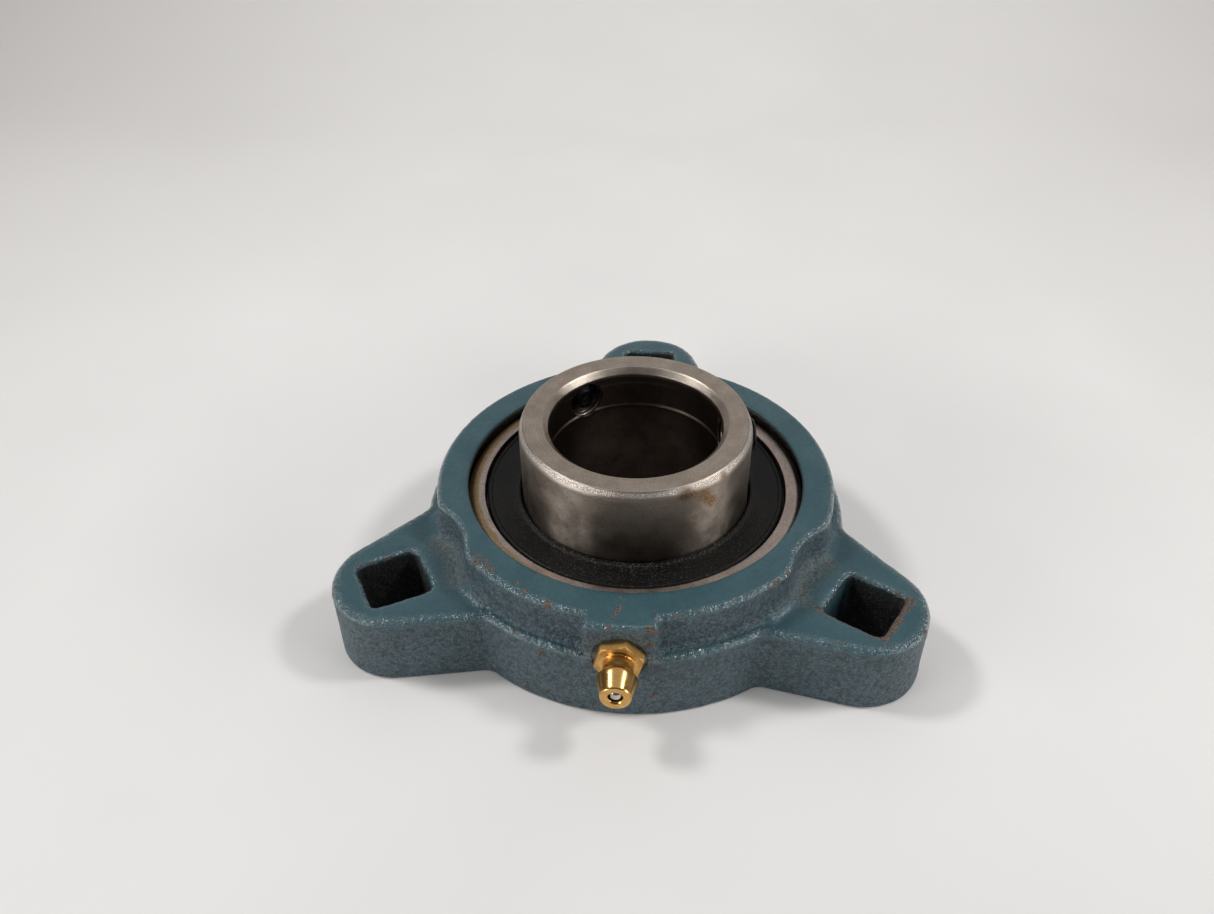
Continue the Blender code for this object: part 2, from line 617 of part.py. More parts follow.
def spring_curve():
    """A helix of round wire, as a curve with a bevel and filled ends."""
    per_turn = 8
    count = SPRING_TURNS * per_turn
    curve = bpy.data.curves.new("spring", "CURVE")
    curve.dimensions = "3D"
    curve.bevel_depth = SPRING_WIRE
    curve.bevel_resolution = 0
    curve.use_fill_caps = True
    wire = curve.splines.new("POLY")
    wire.points.add(count)
    for step in range(count + 1):
        angle = 2 * math.pi * step / per_turn
        height = SPRING_START + (SPRING_END - SPRING_START) * step / count
        wire.points[step].co = (SPRING_RADIUS * math.cos(angle), SPRING_RADIUS * math.sin(angle), height, 1.0)
    return curve


def main():
    clear_scene()
    centre = add_empty("bearing_centre", (0.0, AXIS_Y, CENTRE_Z))
    seat = add_empty("fitting_seat", (0.0, AXIS_Y - LOWER_RADIUS, FITTING_Z), (math.pi / 2, 0.0, 0.0))
    bpy.context.view_layer.update()
    make_housing(seat)
    make_rings(centre)
    make_balls(centre)
    make_cage(centre)
    make_seals(centre)
    make_set_screws(centre)
    make_grease_fitting(seat)


main()
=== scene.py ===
"""Looks of a three-bolt flange mount bearing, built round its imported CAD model.

Every new piece is a surface worked out as whole arrays in millimetres and put into its mesh in metres. The
shaft stands along Z through (0, AXIS_Y), and the mounting face is at z = 0.
"""
import math

import bpy
import numpy as np
from mathutils import Matrix, Vector


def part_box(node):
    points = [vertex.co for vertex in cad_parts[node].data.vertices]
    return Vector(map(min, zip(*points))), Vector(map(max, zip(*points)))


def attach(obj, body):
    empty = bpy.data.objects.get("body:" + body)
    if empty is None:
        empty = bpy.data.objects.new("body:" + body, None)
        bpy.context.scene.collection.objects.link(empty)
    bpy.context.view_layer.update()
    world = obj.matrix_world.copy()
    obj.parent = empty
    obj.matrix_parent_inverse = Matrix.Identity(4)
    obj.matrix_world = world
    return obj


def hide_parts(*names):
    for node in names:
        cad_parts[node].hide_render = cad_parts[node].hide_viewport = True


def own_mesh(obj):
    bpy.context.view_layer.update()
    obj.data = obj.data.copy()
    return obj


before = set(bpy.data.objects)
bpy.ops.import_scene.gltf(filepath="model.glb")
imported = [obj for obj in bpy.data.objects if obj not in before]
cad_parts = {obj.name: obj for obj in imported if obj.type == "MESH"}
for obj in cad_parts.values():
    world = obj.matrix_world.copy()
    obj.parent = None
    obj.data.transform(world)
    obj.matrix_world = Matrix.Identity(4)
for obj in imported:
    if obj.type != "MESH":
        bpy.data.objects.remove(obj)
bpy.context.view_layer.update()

MM = 0.001
FULL = 2 * np.pi
THIRD = FULL / 3

# Places, read from the frame (mm)
ring_low, ring_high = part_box("inner_ring")
fitting_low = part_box("grease_fitting_body")[0]
check_low, check_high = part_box("grease_fitting_ball")
AXIS_Y = (ring_low.y + ring_high.y) / 2 / MM
CENTRE_Z = ring_high.z / MM - 22.0
PAD_Y = fitting_low.y / MM + 7.7
FITTING_Z = (check_low.z + check_high.z) / 2 / MM
INSERT_CENTRE = np.array([0.0, AXIS_Y, CENTRE_Z])
PAD_CENTRE = (0.0, PAD_Y, FITTING_Z)
SHAFT_FOOT = np.array([0.0, AXIS_Y, 0.0])

# Housing (mm)
LOWER_RADIUS = 37.5
LOWER_TOP = 13.5
UPPER_RADIUS = 35.2
UPPER_TOP = 20.5
BOLT_CIRCLE = 45.3
LOBE_END = 10.5
LOBE_TAPER = math.radians(19.3)
LOBE_FILLET = 3.0
LOBE_ANGLES = np.radians([90.0, 210.0, 330.0])
SCALLOP_RADIUS = 12.3
SQUARE_HALF = 5.2
SQUARE_CORNER = 1.2
PAD_HALF = 5.9
PAD_RADIUS = 37.45
SEAT_RADIUS = 31.15

# Insert (mm)
BALL_RADIUS = 4.7625
BALL_COUNT = 9
PITCH_RADIUS = 23.0
RING_RADIUS = 20.15
BORE_RADIUS = 15.08
SPHERE_RADIUS = 30.85
HALF_WIDTH = 8.0
SCREW_ANGLES = np.radians([130.0, 10.0])
SCREW_HEIGHT = CENTRE_Z + 17.0
SCREW_RADIUS = 3.0
SCREW_LENGTH = 5.4
SOCKET_HALF = 1.6
THREAD_PITCH = 0.9

# Grease fitting (mm)
HEXAGON_HALF = 3.57
HEXAGON_CORNER = math.radians(15.0)
CHECK_BALL_RADIUS = 1.3


# ---------------------------------------------------------------- surfaces

def lattice_noise(place, seed):
    """Smooth noise from -1 to 1.

    Each whole-number point has a fixed value, and the eight round a place are blended with 3t^2 - 2t^3.
    """
    cell = np.floor(place).astype(np.int64)
    part = place - cell
    part = part * part * (3.0 - 2.0 * part)
    total = np.zeros(place.shape[:-1])
    for corner in range(8):
        step = np.array([(corner >> k) & 1 for k in range(3)])
        key = (cell + step) * np.array([374761393, 668265263, 1440662683])
        mixed = (key.sum(-1) + seed * 1274126177) & 0xFFFFFFFF
        mixed = ((mixed ^ (mixed >> 13)) * 1103515245) & 0xFFFFFFFF
        mixed = ((mixed ^ (mixed >> 15)) * 668265263) & 0xFFFFFFFF
        value = ((mixed >> 8) & 0xFFFF) / 32767.5 - 1.0
        total += value * np.where(step, part, 1.0 - part).prod(-1)
    return total


def smooth_step(low, high, value):
    """0 below low, 1 above high, and 3t^2 - 2t^3 between."""
    t = np.clip((value - low) / (high - low), 0.0, 1.0)
    return t * t * (3.0 - 2.0 * t)


def smooth_max(a, b, width):
    """The larger of a and b, lifted by up to width / 4 where they are closer than width."""
    near = np.maximum(width - np.abs(a - b), 0.0) / width
    return np.maximum(a, b) + near * near * width / 4.0


def polar(radius, angle, height):
    """Points at (radius cos angle, radius sin angle, height)."""
    radius, angle, height = np.broadcast_arrays(radius, angle, height)
    return np.stack([radius * np.cos(angle), radius * np.sin(angle), height], -1)


def around(count, start=0.0):
    """Equal steps of angle round a full turn, the last one not repeated."""
    return start + FULL * np.arange(count) / count


def fillet_corners(corners, closed, steps=5):
    """A profile of (radius, height) through (radius, height, cut) corners.

    Each corner C is cut back by its cut to A and B on its two edges, and bridged by the parabola
    (1-t)^2 A + 2t(1-t) C + t^2 B. An open profile keeps its two end points.
    """
    corners = np.array(corners, float)
    point = corners[:, :2]
    cut = corners[:, 2:3]
    before = np.roll(point, 1, 0) - point
    after = np.roll(point, -1, 0) - point
    before_length = np.linalg.norm(before, axis=1, keepdims=True)
    after_length = np.linalg.norm(after, axis=1, keepdims=True)
    a = point + before / before_length * np.minimum(cut, 0.45 * before_length)
    b = point + after / after_length * np.minimum(cut, 0.45 * after_length)
    t = np.linspace(0.0, 1.0, steps)[None, :, None]
    bridge = (1 - t) ** 2 * a[:, None] + 2 * t * (1 - t) * point[:, None] + t ** 2 * b[:, None]
    if closed:
        return bridge.reshape(-1, 2)
    return np.vstack([point[:1], bridge[1:-1].reshape(-1, 2), point[-1:]])


def refine(profile, step, closed):
    """The same profile with points added along it, so that no stretch is longer than step."""
    line = np.vstack([profile, profile[:1]]) if closed else profile
    walked = np.concatenate([[0.0], np.cumsum(np.linalg.norm(np.diff(line, axis=0), axis=1))])
    places = np.unique(np.round(np.concatenate([walked, np.arange(0.0, walked[-1], step)]), 4))
    keep = np.concatenate([[True], np.diff(places) > step * 0.12])
    places = places[keep]
    if closed:
        places = places[places < walked[-1] - step * 0.12]
    return np.stack([np.interp(places, walked, line[:, k]) for k in (0, 1)], -1)


def turn_to(points, origin, forward):
    """Carry points from a piece's own frame, whose +Z runs forward, to origin in the row frame."""
    turn = np.array(Vector(forward).to_track_quat("Z", "Y").to_matrix())
    return points @ turn.T + np.array(origin)


def build(name, points, ends, material=None, body=None, replaces=()):
    """Make a piece from a rows x columns x 3 grid in millimetres; columns run round and close on themselves.

    ends is "ring" where the last row joins the first, or "poles" where the first and last rows each
    close on a single point. Faces are turned over if the closed surface's signed volume is negative.
    A cutter has no material, slot or body.
    """
    rows, cols = points.shape[:2]
    i = np.arange(rows if ends == "ring" else rows - 1)[:, None]
    j = np.arange(cols)[None, :]
    n = (i + 1) % rows
    m = (j + 1) % cols
    quads = np.stack([i * cols + j, i * cols + m, n * cols + m, n * cols + j], -1).reshape(-1, 4)
    verts = points.reshape(-1, 3)
    a, b, c, d = (verts[quads[:, k]] for k in range(4))
    volume = (np.cross(a, b) * c).sum() + (np.cross(a, c) * d).sum()
    tris = np.zeros((0, 3), int)
    if ends == "poles":
        base = np.array([points[0].mean(0), points[-1].mean(0)])
        verts = np.vstack([verts, base])
        first = rows * cols
        ring = np.arange(cols)
        after = (ring + 1) % cols
        last = (rows - 1) * cols
        start_fan = np.stack([np.full(cols, first), after, ring], -1)
        end_fan = np.stack([np.full(cols, first + 1), last + ring, last + after], -1)
        tris = np.vstack([start_fan, end_fan])
        a, b, c = (verts[tris[:, k]] for k in range(3))
        volume += (np.cross(a, b) * c).sum()
    faces = quads.tolist() + tris.tolist()
    if volume < 0:
        faces = [face[::-1] for face in faces]
    mesh = bpy.data.meshes.new(name)
    mesh.from_pydata((verts * MM).tolist(), [], faces)
    mesh.update()
    mesh.shade_smooth()
    piece = bpy.data.objects.new(name, mesh)
    bpy.context.scene.collection.objects.link(piece)
    if material is not None:
        mesh.materials.append(material)
        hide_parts(*replaces)
        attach(piece, body)
    return piece


def carve(piece, cutters):
    """Cut closed cutters out of a piece by an exact Boolean, and keep the result as its mesh."""
    for cutter in cutters:
        modifier = piece.modifiers.new("carve", "BOOLEAN")
        modifier.operation = "DIFFERENCE"
        modifier.solver = "EXACT"
        modifier.object = cutter
    bpy.context.view_layer.update()
    shaped = bpy.data.meshes.new_from_object(piece.evaluated_get(bpy.context.evaluated_depsgraph_get()))
    piece.modifiers.clear()
    piece.data = shaped
    shaped.shade_smooth()
    for cutter in cutters:
        bpy.data.objects.remove(cutter, do_unlink=True)


def places_of(piece):
    """A piece's vertices as an array, in millimetres."""
    flat = np.zeros(len(piece.data.vertices) * 3)
    piece.data.vertices.foreach_get("co", flat)
    return flat.reshape(-1, 3) / MM


def mark(piece, **values):
    """Store one number per vertex under each name, for the piece's material to read."""
    for name, value in values.items():
        attribute = piece.data.attributes.new(name, "FLOAT", "POINT")
        attribute.data.foreach_set("value", np.clip(value, 0.0, 1.0).astype(np.float32))


def mark_turning(piece, origin, forward):
    """Store where each vertex is on a turned piece: (distance from axis, distance along it, cos) and sin."""
    local = places_of(piece) - np.array(origin)
    turn = np.array(Vector(forward).to_track_quat("Z", "Y").to_matrix())
    local = local @ turn
    radius = np.hypot(local[:, 0], local[:, 1])
    safe = np.maximum(radius, 1e-4)
    turning = np.stack([radius, local[:, 2], local[:, 0] / safe], -1).astype(np.float32)
    attribute = piece.data.attributes.new("turning", "FLOAT_VECTOR", "POINT")
    attribute.data.foreach_set("vector", turning.ravel())
    side = piece.data.attributes.new("turning_side", "FLOAT", "POINT")
    side.data.foreach_set("value", (local[:, 1] / safe).astype(np.float32))


def spots(place, marks):
    """Sum of soft round marks (x, y, z, radius, strength), each strength * exp(-(distance / radius)^2)."""
    total = np.zeros(len(place))
    for x, y, z, radius, strength in marks:
        away = np.linalg.norm(place - np.array([x, y, z]), axis=1) / radius
        total += strength * np.exp(-away * away)
    return total


# ---------------------------------------------------------------- materials

def linear(code):
    """An sRGB hex colour as linear red, green, blue and 1."""
    value = np.array([int(code[k:k + 2], 16) for k in (1, 3, 5)]) / 255.0
    value = np.where(value <= 0.04045, value / 12.92, ((value + 0.055) / 1.055) ** 2.4)
    return (*value.tolist(), 1.0)


def add(tree, kind, inputs, out=0, **settings):
    """Add a shader node, with its settings and links, and return one of its outputs.

    inputs is a list for the sockets in use, in order, or a dict of them by name. Each is another node's
    output, a number, a vector, or a colour as an sRGB hex code.
    """
    node = tree.nodes.new("ShaderNode" + kind)
    for key, value in settings.items():
        setattr(node, key, value)
    used = [socket for socket in node.inputs if socket.enabled]
    named = inputs if isinstance(inputs, dict) else dict(enumerate(inputs))
    for key, value in named.items():
        socket = used[key] if isinstance(key, int) else node.inputs[key]
        if isinstance(value, bpy.types.NodeSocket):
            tree.links.new(value, socket)
        else:
            socket.default_value = linear(value) if isinstance(value, str) else value
    shown = [socket for socket in node.outputs if socket.enabled]
    return shown[out] if isinstance(out, int) else node.outputs[out]


def start(name, **constants):
    """A new material's node tree and shader, with the shader's unchanging numbers set on its own sockets."""
    material = bpy.data.materials.new(name)
    material.use_nodes = True
    tree = material.node_tree
    shader = tree.nodes["Principled BSDF"]
    for socket, value in constants.items():
        shader.inputs[socket.replace("_", " ")].default_value = value
    return material, tree, shader


def finish(tree, shader, **links):
    """Link outputs to the shader's sockets by name."""
    for socket, output in links.items():
        tree.links.new(output, shader.inputs[socket.replace("_", " ")])


def in_mm(tree):
    """The surface's own place in millimetres, so that a noise scale of 1 / size has grains of that size."""
    place = add(tree, "TexCoord", {}, out="Object")
    return add(tree, "VectorMath", {0: place, "Scale": 1 / MM}, operation="SCALE")


def cut_marks(tree, pitch, length):
    """Fine rings left by turning or grinding: noise that is quick across them and slow round the axis.

    pitch is the ring spacing in millimetres, and length is how much of a turn a scratch lasts. The noise is
    read in four dimensions, with the direction as a cosine and a sine, so that it has no seam.
    """
    where = add(tree, "Attribute", {}, out="Vector", attribute_name="turning")
    side = add(tree, "Attribute", {}, out="Fac", attribute_name="turning_side")
    slow = 1.0 / length
    spread = add(tree, "VectorMath", [where, (1 / pitch, 1 / pitch, slow)], operation="MULTIPLY")
    turned_side = add(tree, "Math", [side, slow], operation="MULTIPLY")
    sockets = {"Vector": spread, "W": turned_side, "Scale": 1.0, "Detail": 3.0, "Roughness": 0.6}
    return add(tree, "TexNoise", sockets, noise_dimensions="4D")


def enamel_on_cast_iron():
    """Teal air-dried enamel, dipped or sprayed over a sand casting.

    The sand leaves a 0.3 to 1 mm pebble under the paint, which is thin and glossy and breaks into white
    glints on every rounded edge. Edges are chipped through to brown rust, the top faces carry small rust
    specks, the walls are greyer and speckled with dirt, the square holes are nearly bare and black, and
    the machined seat and mounting face are bare grey iron.
    """
    material, tree, shader = start("teal_enamel_on_cast_iron", IOR=1.5, Coat_IOR=1.55, Coat_Roughness=0.06)
    place = in_mm(tree)
    edge, wall, inside, bare, chips, dust = (
        add(tree, "Attribute", {}, out="Fac", attribute_name=name)
        for name in ("edge", "wall", "inside", "bare", "chips", "dust"))
    broad = add(tree, "TexNoise", {"Vector": place, "Scale": 1 / 7.0, "Detail": 3.0})
    blotch = add(tree, "TexNoise", {"Vector": place, "Scale": 1 / 1.7, "Detail": 4.0, "Roughness": 0.62})
    pebble = add(tree, "TexNoise", {"Vector": place, "Scale": 1 / 0.75, "Detail": 3.0, "Roughness": 0.6})
    sand = add(tree, "TexNoise", {"Vector": place, "Scale": 1 / 0.32, "Detail": 2.0, "Roughness": 0.6})

    # Paint: smooth teal on top, greyer and dirtier on the walls
    share = add(tree, "MapRange", [broad, 0.35, 0.65], interpolation_type="SMOOTHSTEP")
    top_coat = add(tree, "Mix", [share, "#2f525b", "#385a61"], data_type="RGBA")
    share = add(tree, "MapRange", [sand, 0.35, 0.68], interpolation_type="SMOOTHSTEP")
    wall_coat = add(tree, "Mix", [share, "#35434a", "#63727b"], data_type="RGBA")
    share = add(tree, "MapRange", [pebble, 0.48, 0.66, 0.0, 0.75], interpolation_type="SMOOTHSTEP")
    wall_coat = add(tree, "Mix", [share, wall_coat, "#22292b"], data_type="RGBA")
    share = add(tree, "MapRange", [blotch, 0.50, 0.70, 0.0, 0.60], interpolation_type="SMOOTHSTEP")
    wall_coat = add(tree, "Mix", [share, wall_coat, "#252a29"], data_type="RGBA")
    share = add(tree, "Math", [wall, 0.85], operation="MULTIPLY")
    coat = add(tree, "Mix", [share, top_coat, wall_coat], data_type="RGBA")
    share = add(tree, "MapRange", [pebble, 0.35, 0.72, 0.0, 0.30], interpolation_type="SMOOTHSTEP")
    coat = add(tree, "Mix", [share, coat, "#1d3a43"], data_type="RGBA")

    # Rust: small specks everywhere, and chips where the chips attribute is high
    lean = add(tree, "Math", [edge, 0.09, blotch], operation="MULTIPLY_ADD")
    rubbed = add(tree, "MapRange", [lean, 0.68, 0.74], interpolation_type="SMOOTHSTEP")
    ragged = add(tree, "Math", [pebble, 0.65], operation="MULTIPLY")
    chipped = add(tree, "Math", [chips, 0.60, ragged], operation="MULTIPLY_ADD")
    through = add(tree, "MapRange", [chipped, 0.56, 0.68], interpolation_type="SMOOTHSTEP")
    through = add(tree, "Math", [through, rubbed], operation="MAXIMUM")
    fleck = add(tree, "MapRange", [pebble, 0.70, 0.76, 0.0, 0.8], interpolation_type="SMOOTHSTEP")
    through = add(tree, "Math", [through, fleck], operation="MAXIMUM")
    share = add(tree, "MapRange", [sand, 0.32, 0.68], interpolation_type="SMOOTHSTEP")
    rust = add(tree, "Mix", [share, "#2c211b", "#7b6759"], data_type="RGBA")
    share = add(tree, "Math", [through, 0.92], operation="MULTIPLY")
    colour = add(tree, "Mix", [share, coat, rust], data_type="RGBA")

    # Dust in the hollows, black inside the square holes, painted shade in the upper part of the fitting's
    # spotface, and bare machined iron
    share = add(tree, "MapRange", [sand, 0.25, 0.75], interpolation_type="SMOOTHSTEP")
    share = add(tree, "Math", [dust, share], operation="MULTIPLY")
    colour = add(tree, "Mix", [share, colour, "#8f8472"], data_type="RGBA")
    share = add(tree, "MapRange", [sand, 0.42, 0.75], interpolation_type="SMOOTHSTEP")
    hole_black_and_painted_shade = add(tree, "Mix", [share, "#131414", "#494a4a"], data_type="RGBA")
    colour = add(tree, "Mix", [inside, colour, hole_black_and_painted_shade], data_type="RGBA")
    share = add(tree, "MapRange", [pebble, 0.35, 0.70], interpolation_type="SMOOTHSTEP")
    iron = add(tree, "Mix", [share, "#4b4845", "#79736c"], data_type="RGBA")
    colour = add(tree, "Mix", [bare, colour, iron], data_type="RGBA")

    # Gloss: wet-looking edges, satin tops, dull walls and duller rust
    gloss = add(tree, "MapRange", [pebble, 0.3, 0.7, 0.28, 0.40], interpolation_type="SMOOTHSTEP")
    gloss = add(tree, "Math", [wall, 0.14, gloss], operation="MULTIPLY_ADD")
    wet = add(tree, "MapRange", [edge, 0.30, 0.9, 0.0, 0.75], interpolation_type="SMOOTHSTEP")
    gloss = add(tree, "Mix", [wet, gloss, 0.20])
    dull = add(tree, "Math", [through, inside], operation="MAXIMUM")
    dull = add(tree, "Math", [dull, dust], operation="MAXIMUM")
    gloss = add(tree, "Math", [dull, 0.42, gloss], operation="MULTIPLY_ADD")
    metal = add(tree, "Math", [bare, 0.9], operation="MULTIPLY")

    rough = add(tree, "Math", [wall, 0.7, 0.22], operation="MULTIPLY_ADD")
    rough = add(tree, "Math", [rough, edge], operation="MAXIMUM")
    rough = add(tree, "Math", [rough, inside], operation="MAXIMUM")
    swing = add(tree, "Math", [sand, 0.5], operation="SUBTRACT")
    height = add(tree, "Math", [swing, rough], operation="MULTIPLY")
    normal = add(tree, "Bump", {"Height": height, "Distance": 0.26 * MM})
    swing = add(tree, "Math", [pebble, 0.5], operation="SUBTRACT")
    height = add(tree, "Math", [swing, rough], operation="MULTIPLY")
    normal = add(tree, "Bump", {"Height": height, "Distance": 0.34 * MM, "Normal": normal})
    normal = add(tree, "Bump", {"Height": through, "Distance": -0.05 * MM, "Normal": normal})

    # Where the paint has gathered thick on an edge it dries to a glassy skin over 0.6 mm bumps
    bead = add(tree, "TexNoise", {"Vector": place, "Scale": 1 / 0.62, "Detail": 1.0})
    skin_normal = add(tree, "Bump", {"Height": bead, "Distance": 0.42 * MM})
    skin = add(tree, "MapRange", [edge, 0.40, 0.85], interpolation_type="SMOOTHSTEP")
    clean = add(tree, "Math", [1.0, dull], operation="SUBTRACT", use_clamp=True)
    skin = add(tree, "Math", [skin, clean], operation="MULTIPLY")
    finish(tree, shader, Base_Color=colour, Roughness=gloss, Metallic=metal, Normal=normal,
           Coat_Weight=skin, Coat_Normal=skin_normal)
    return material


def ground_bearing_steel(name, light, dark, stain_colour, roughness):
    """Through-hardened chrome bearing steel, ground and then worn.

    Grinding leaves rings finer than can be seen, drawn here about 0.2 mm apart, so that a light is drawn
    out along the shaft. Handling has left a fine dull speckle, bright rubbed edges, and brown stains where
    oil has dried. The bore is darkened nearly black with a brown tone as painted shade for the deep bore,
    and the upright outer face is darkened as painted shade between its highlights.
    """
    material, tree, shader = start(name, Metallic=1.0, Anisotropic_Rotation=0.25)
    tangent = add(tree, "Tangent", {}, direction_type="RADIAL", axis="Z")
    place = in_mm(tree)
    stain, rubbed, inner, upright = (add(tree, "Attribute", {}, out="Fac", attribute_name=mark_name)
                                     for mark_name in ("stain", "rubbed", "inner", "upright"))
    rings = cut_marks(tree, 0.22, 0.5)
    haze = add(tree, "TexNoise", {"Vector": place, "Scale": 1 / 3.2, "Detail": 4.0, "Roughness": 0.6})
    speck = add(tree, "TexNoise", {"Vector": place, "Scale": 1 / 0.24, "Detail": 2.0, "Roughness": 0.7})

    share = add(tree, "MapRange", [haze, 0.3, 0.7], interpolation_type="SMOOTHSTEP")
    colour = add(tree, "Mix", [share, dark, light], data_type="RGBA")
    share = add(tree, "MapRange", [rings, 0.3, 0.7, 0.0, 0.25], interpolation_type="SMOOTHSTEP")
    colour = add(tree, "Mix", [share, colour, "#7d746b"], data_type="RGBA")
    # Painted shade: the upright outer face is darkened so that it reads dark between its highlights
    share = add(tree, "Math", [upright, 0.54], operation="MULTIPLY")
    colour = add(tree, "Mix", [share, colour, "#6b625a"], data_type="RGBA")
    pull = add(tree, "Math", [upright, 0.93], operation="MULTIPLY")
    share = add(tree, "MapRange", [speck, 0.44, 0.66, 0.0, 0.42], interpolation_type="SMOOTHSTEP")
    colour = add(tree, "Mix", [share, colour, "#5a5048"], data_type="RGBA")
    share = add(tree, "MapRange", [speck, 0.44, 0.56], interpolation_type="SMOOTHSTEP")
    share = add(tree, "Math", [rubbed, share], operation="MULTIPLY")
    colour = add(tree, "Mix", [share, colour, "#d6d0c8"], data_type="RGBA")
    # Painted shade: the bore below its chamfer is darkened nearly black with a brown tone
    share = add(tree, "MapRange", [haze, 0.25, 0.75, 0.80, 0.97], interpolation_type="SMOOTHSTEP")
    share = add(tree, "Math", [inner, share], operation="MULTIPLY")
    colour = add(tree, "Mix", [share, colour, "#4a3d36"], data_type="RGBA")
    broken = add(tree, "Math", [haze, 0.5], operation="MULTIPLY")
    patch = add(tree, "Math", [stain, 0.62, broken], operation="MULTIPLY_ADD")
    patch = add(tree, "MapRange", [patch, 0.40, 0.85], interpolation_type="SMOOTHSTEP")
    share = add(tree, "MapRange", [speck, 0.30, 0.60, 0.35, 1.0], interpolation_type="SMOOTHSTEP")
    share = add(tree, "Math", [patch, share], operation="MULTIPLY")
    colour = add(tree, "Mix", [share, colour, stain_colour], data_type="RGBA")

    satin = add(tree, "MapRange", [haze, 0.3, 0.7, roughness - 0.03, roughness + 0.05],
                interpolation_type="SMOOTHSTEP")
    satin = add(tree, "Mix", [rubbed, satin, 0.20])
    satin = add(tree, "Math", [patch, 0.25, satin], operation="MULTIPLY_ADD")
    swing = add(tree, "Math", [speck, 0.5], operation="SUBTRACT")
    height = add(tree, "Math", [swing, rubbed], operation="MULTIPLY")
    normal = add(tree, "Bump", {"Height": rings, "Distance": 0.010 * MM})
    normal = add(tree, "Bump", {"Height": speck, "Distance": 0.014 * MM, "Normal": normal})
    normal = add(tree, "Bump", {"Height": height, "Distance": 0.16 * MM, "Normal": normal})
    finish(tree, shader, Base_Color=colour, Roughness=satin, Anisotropic=pull, Normal=normal, Tangent=tangent)
    return material


def lapped_ball_steel():
    """Bearing balls: chrome steel lapped to a mirror, with a thin film of grease that dulls it in streaks."""
    material, tree, shader = start("lapped_ball_steel", Metallic=1.0)
    place = in_mm(tree)
    film = add(tree, "TexNoise", {"Vector": place, "Scale": 1 / 1.8, "Detail": 3.0})
    drawn = add(tree, "VectorMath", [place, (1.0, 1.0, 6.0)], operation="MULTIPLY")
    scratch = add(tree, "TexNoise", {"Vector": drawn, "Scale": 1 / 0.5, "Detail": 2.0})
    share = add(tree, "MapRange", [film, 0.35, 0.65], interpolation_type="SMOOTHSTEP")
    colour = add(tree, "Mix", [share, "#c9c6c2", "#a79c8c"], data_type="RGBA")
    polish = add(tree, "MapRange", [film, 0.3, 0.7, 0.06, 0.22], interpolation_type="SMOOTHSTEP")
    normal = add(tree, "Bump", {"Height": scratch, "Distance": 0.002 * MM})
    finish(tree, shader, Base_Color=colour, Roughness=polish, Normal=normal)
    return material


def pressed_sheet_steel(name, light, dark, roughness):
    """Cold-rolled strip, pressed: a soft grey with rolling streaks 0.4 mm apart."""
    material, tree, shader = start(name, Metallic=1.0)
    place = in_mm(tree)
    rolled = add(tree, "VectorMath", [place, (4.0, 1.0, 1.0)], operation="MULTIPLY")
    streak = add(tree, "TexNoise", {"Vector": rolled, "Scale": 1 / 1.6, "Detail": 3.0})
    cloud = add(tree, "TexNoise", {"Vector": place, "Scale": 1 / 2.5, "Detail": 3.0})
    fine = add(tree, "TexNoise", {"Vector": place, "Scale": 1 / 0.25, "Detail": 2.0})
    share = add(tree, "MapRange", [cloud, 0.3, 0.7], interpolation_type="SMOOTHSTEP")
    colour = add(tree, "Mix", [share, dark, light], data_type="RGBA")
    satin = add(tree, "MapRange", [streak, 0.3, 0.7, roughness, roughness + 0.15],
                interpolation_type="SMOOTHSTEP")
    normal = add(tree, "Bump", {"Height": streak, "Distance": 0.01 * MM})
    normal = add(tree, "Bump", {"Height": fine, "Distance": 0.006 * MM, "Normal": normal})
    finish(tree, shader, Base_Color=colour, Roughness=satin, Normal=normal)
    return material


def nitrile_seal_rubber():
    """Black nitrile rubber moulded on a steel core: charcoal, finely pebbled, and dusty near the joints."""
    material, tree, shader = start("nitrile_seal_rubber", IOR=1.52, Specular_IOR_Level=0.22)
    place = in_mm(tree)
    dust = add(tree, "Attribute", {}, out="Fac", attribute_name="dust")
    mould = cut_marks(tree, 0.3, 0.8)
    pebble = add(tree, "TexNoise", {"Vector": place, "Scale": 1 / 0.28, "Detail": 2.0, "Roughness": 0.6})
    broad = add(tree, "TexNoise", {"Vector": place, "Scale": 1 / 5.0, "Detail": 3.0})
    share = add(tree, "MapRange", [broad, 0.3, 0.7], interpolation_type="SMOOTHSTEP")
    colour = add(tree, "Mix", [share, "#050505", "#0a0a0b"], data_type="RGBA")
    share = add(tree, "MapRange", [pebble, 0.60, 0.74, 0.0, 0.22], interpolation_type="SMOOTHSTEP")
    colour = add(tree, "Mix", [share, colour, "#403c37"], data_type="RGBA")
    share = add(tree, "MapRange", [pebble, 0.54, 0.70], interpolation_type="SMOOTHSTEP")
    settled = add(tree, "Math", [dust, share], operation="MULTIPLY")
    colour = add(tree, "Mix", [settled, colour, "#8c8172"], data_type="RGBA")
    satin = add(tree, "MapRange", [broad, 0.3, 0.7, 0.42, 0.54], interpolation_type="SMOOTHSTEP")
    satin = add(tree, "Math", [settled, 0.3, satin], operation="MULTIPLY_ADD")
    normal = add(tree, "Bump", {"Height": mould, "Distance": 0.02 * MM})
    normal = add(tree, "Bump", {"Height": pebble, "Distance": 0.035 * MM, "Normal": normal})
    finish(tree, shader, Base_Color=colour, Roughness=satin, Normal=normal)
    return material


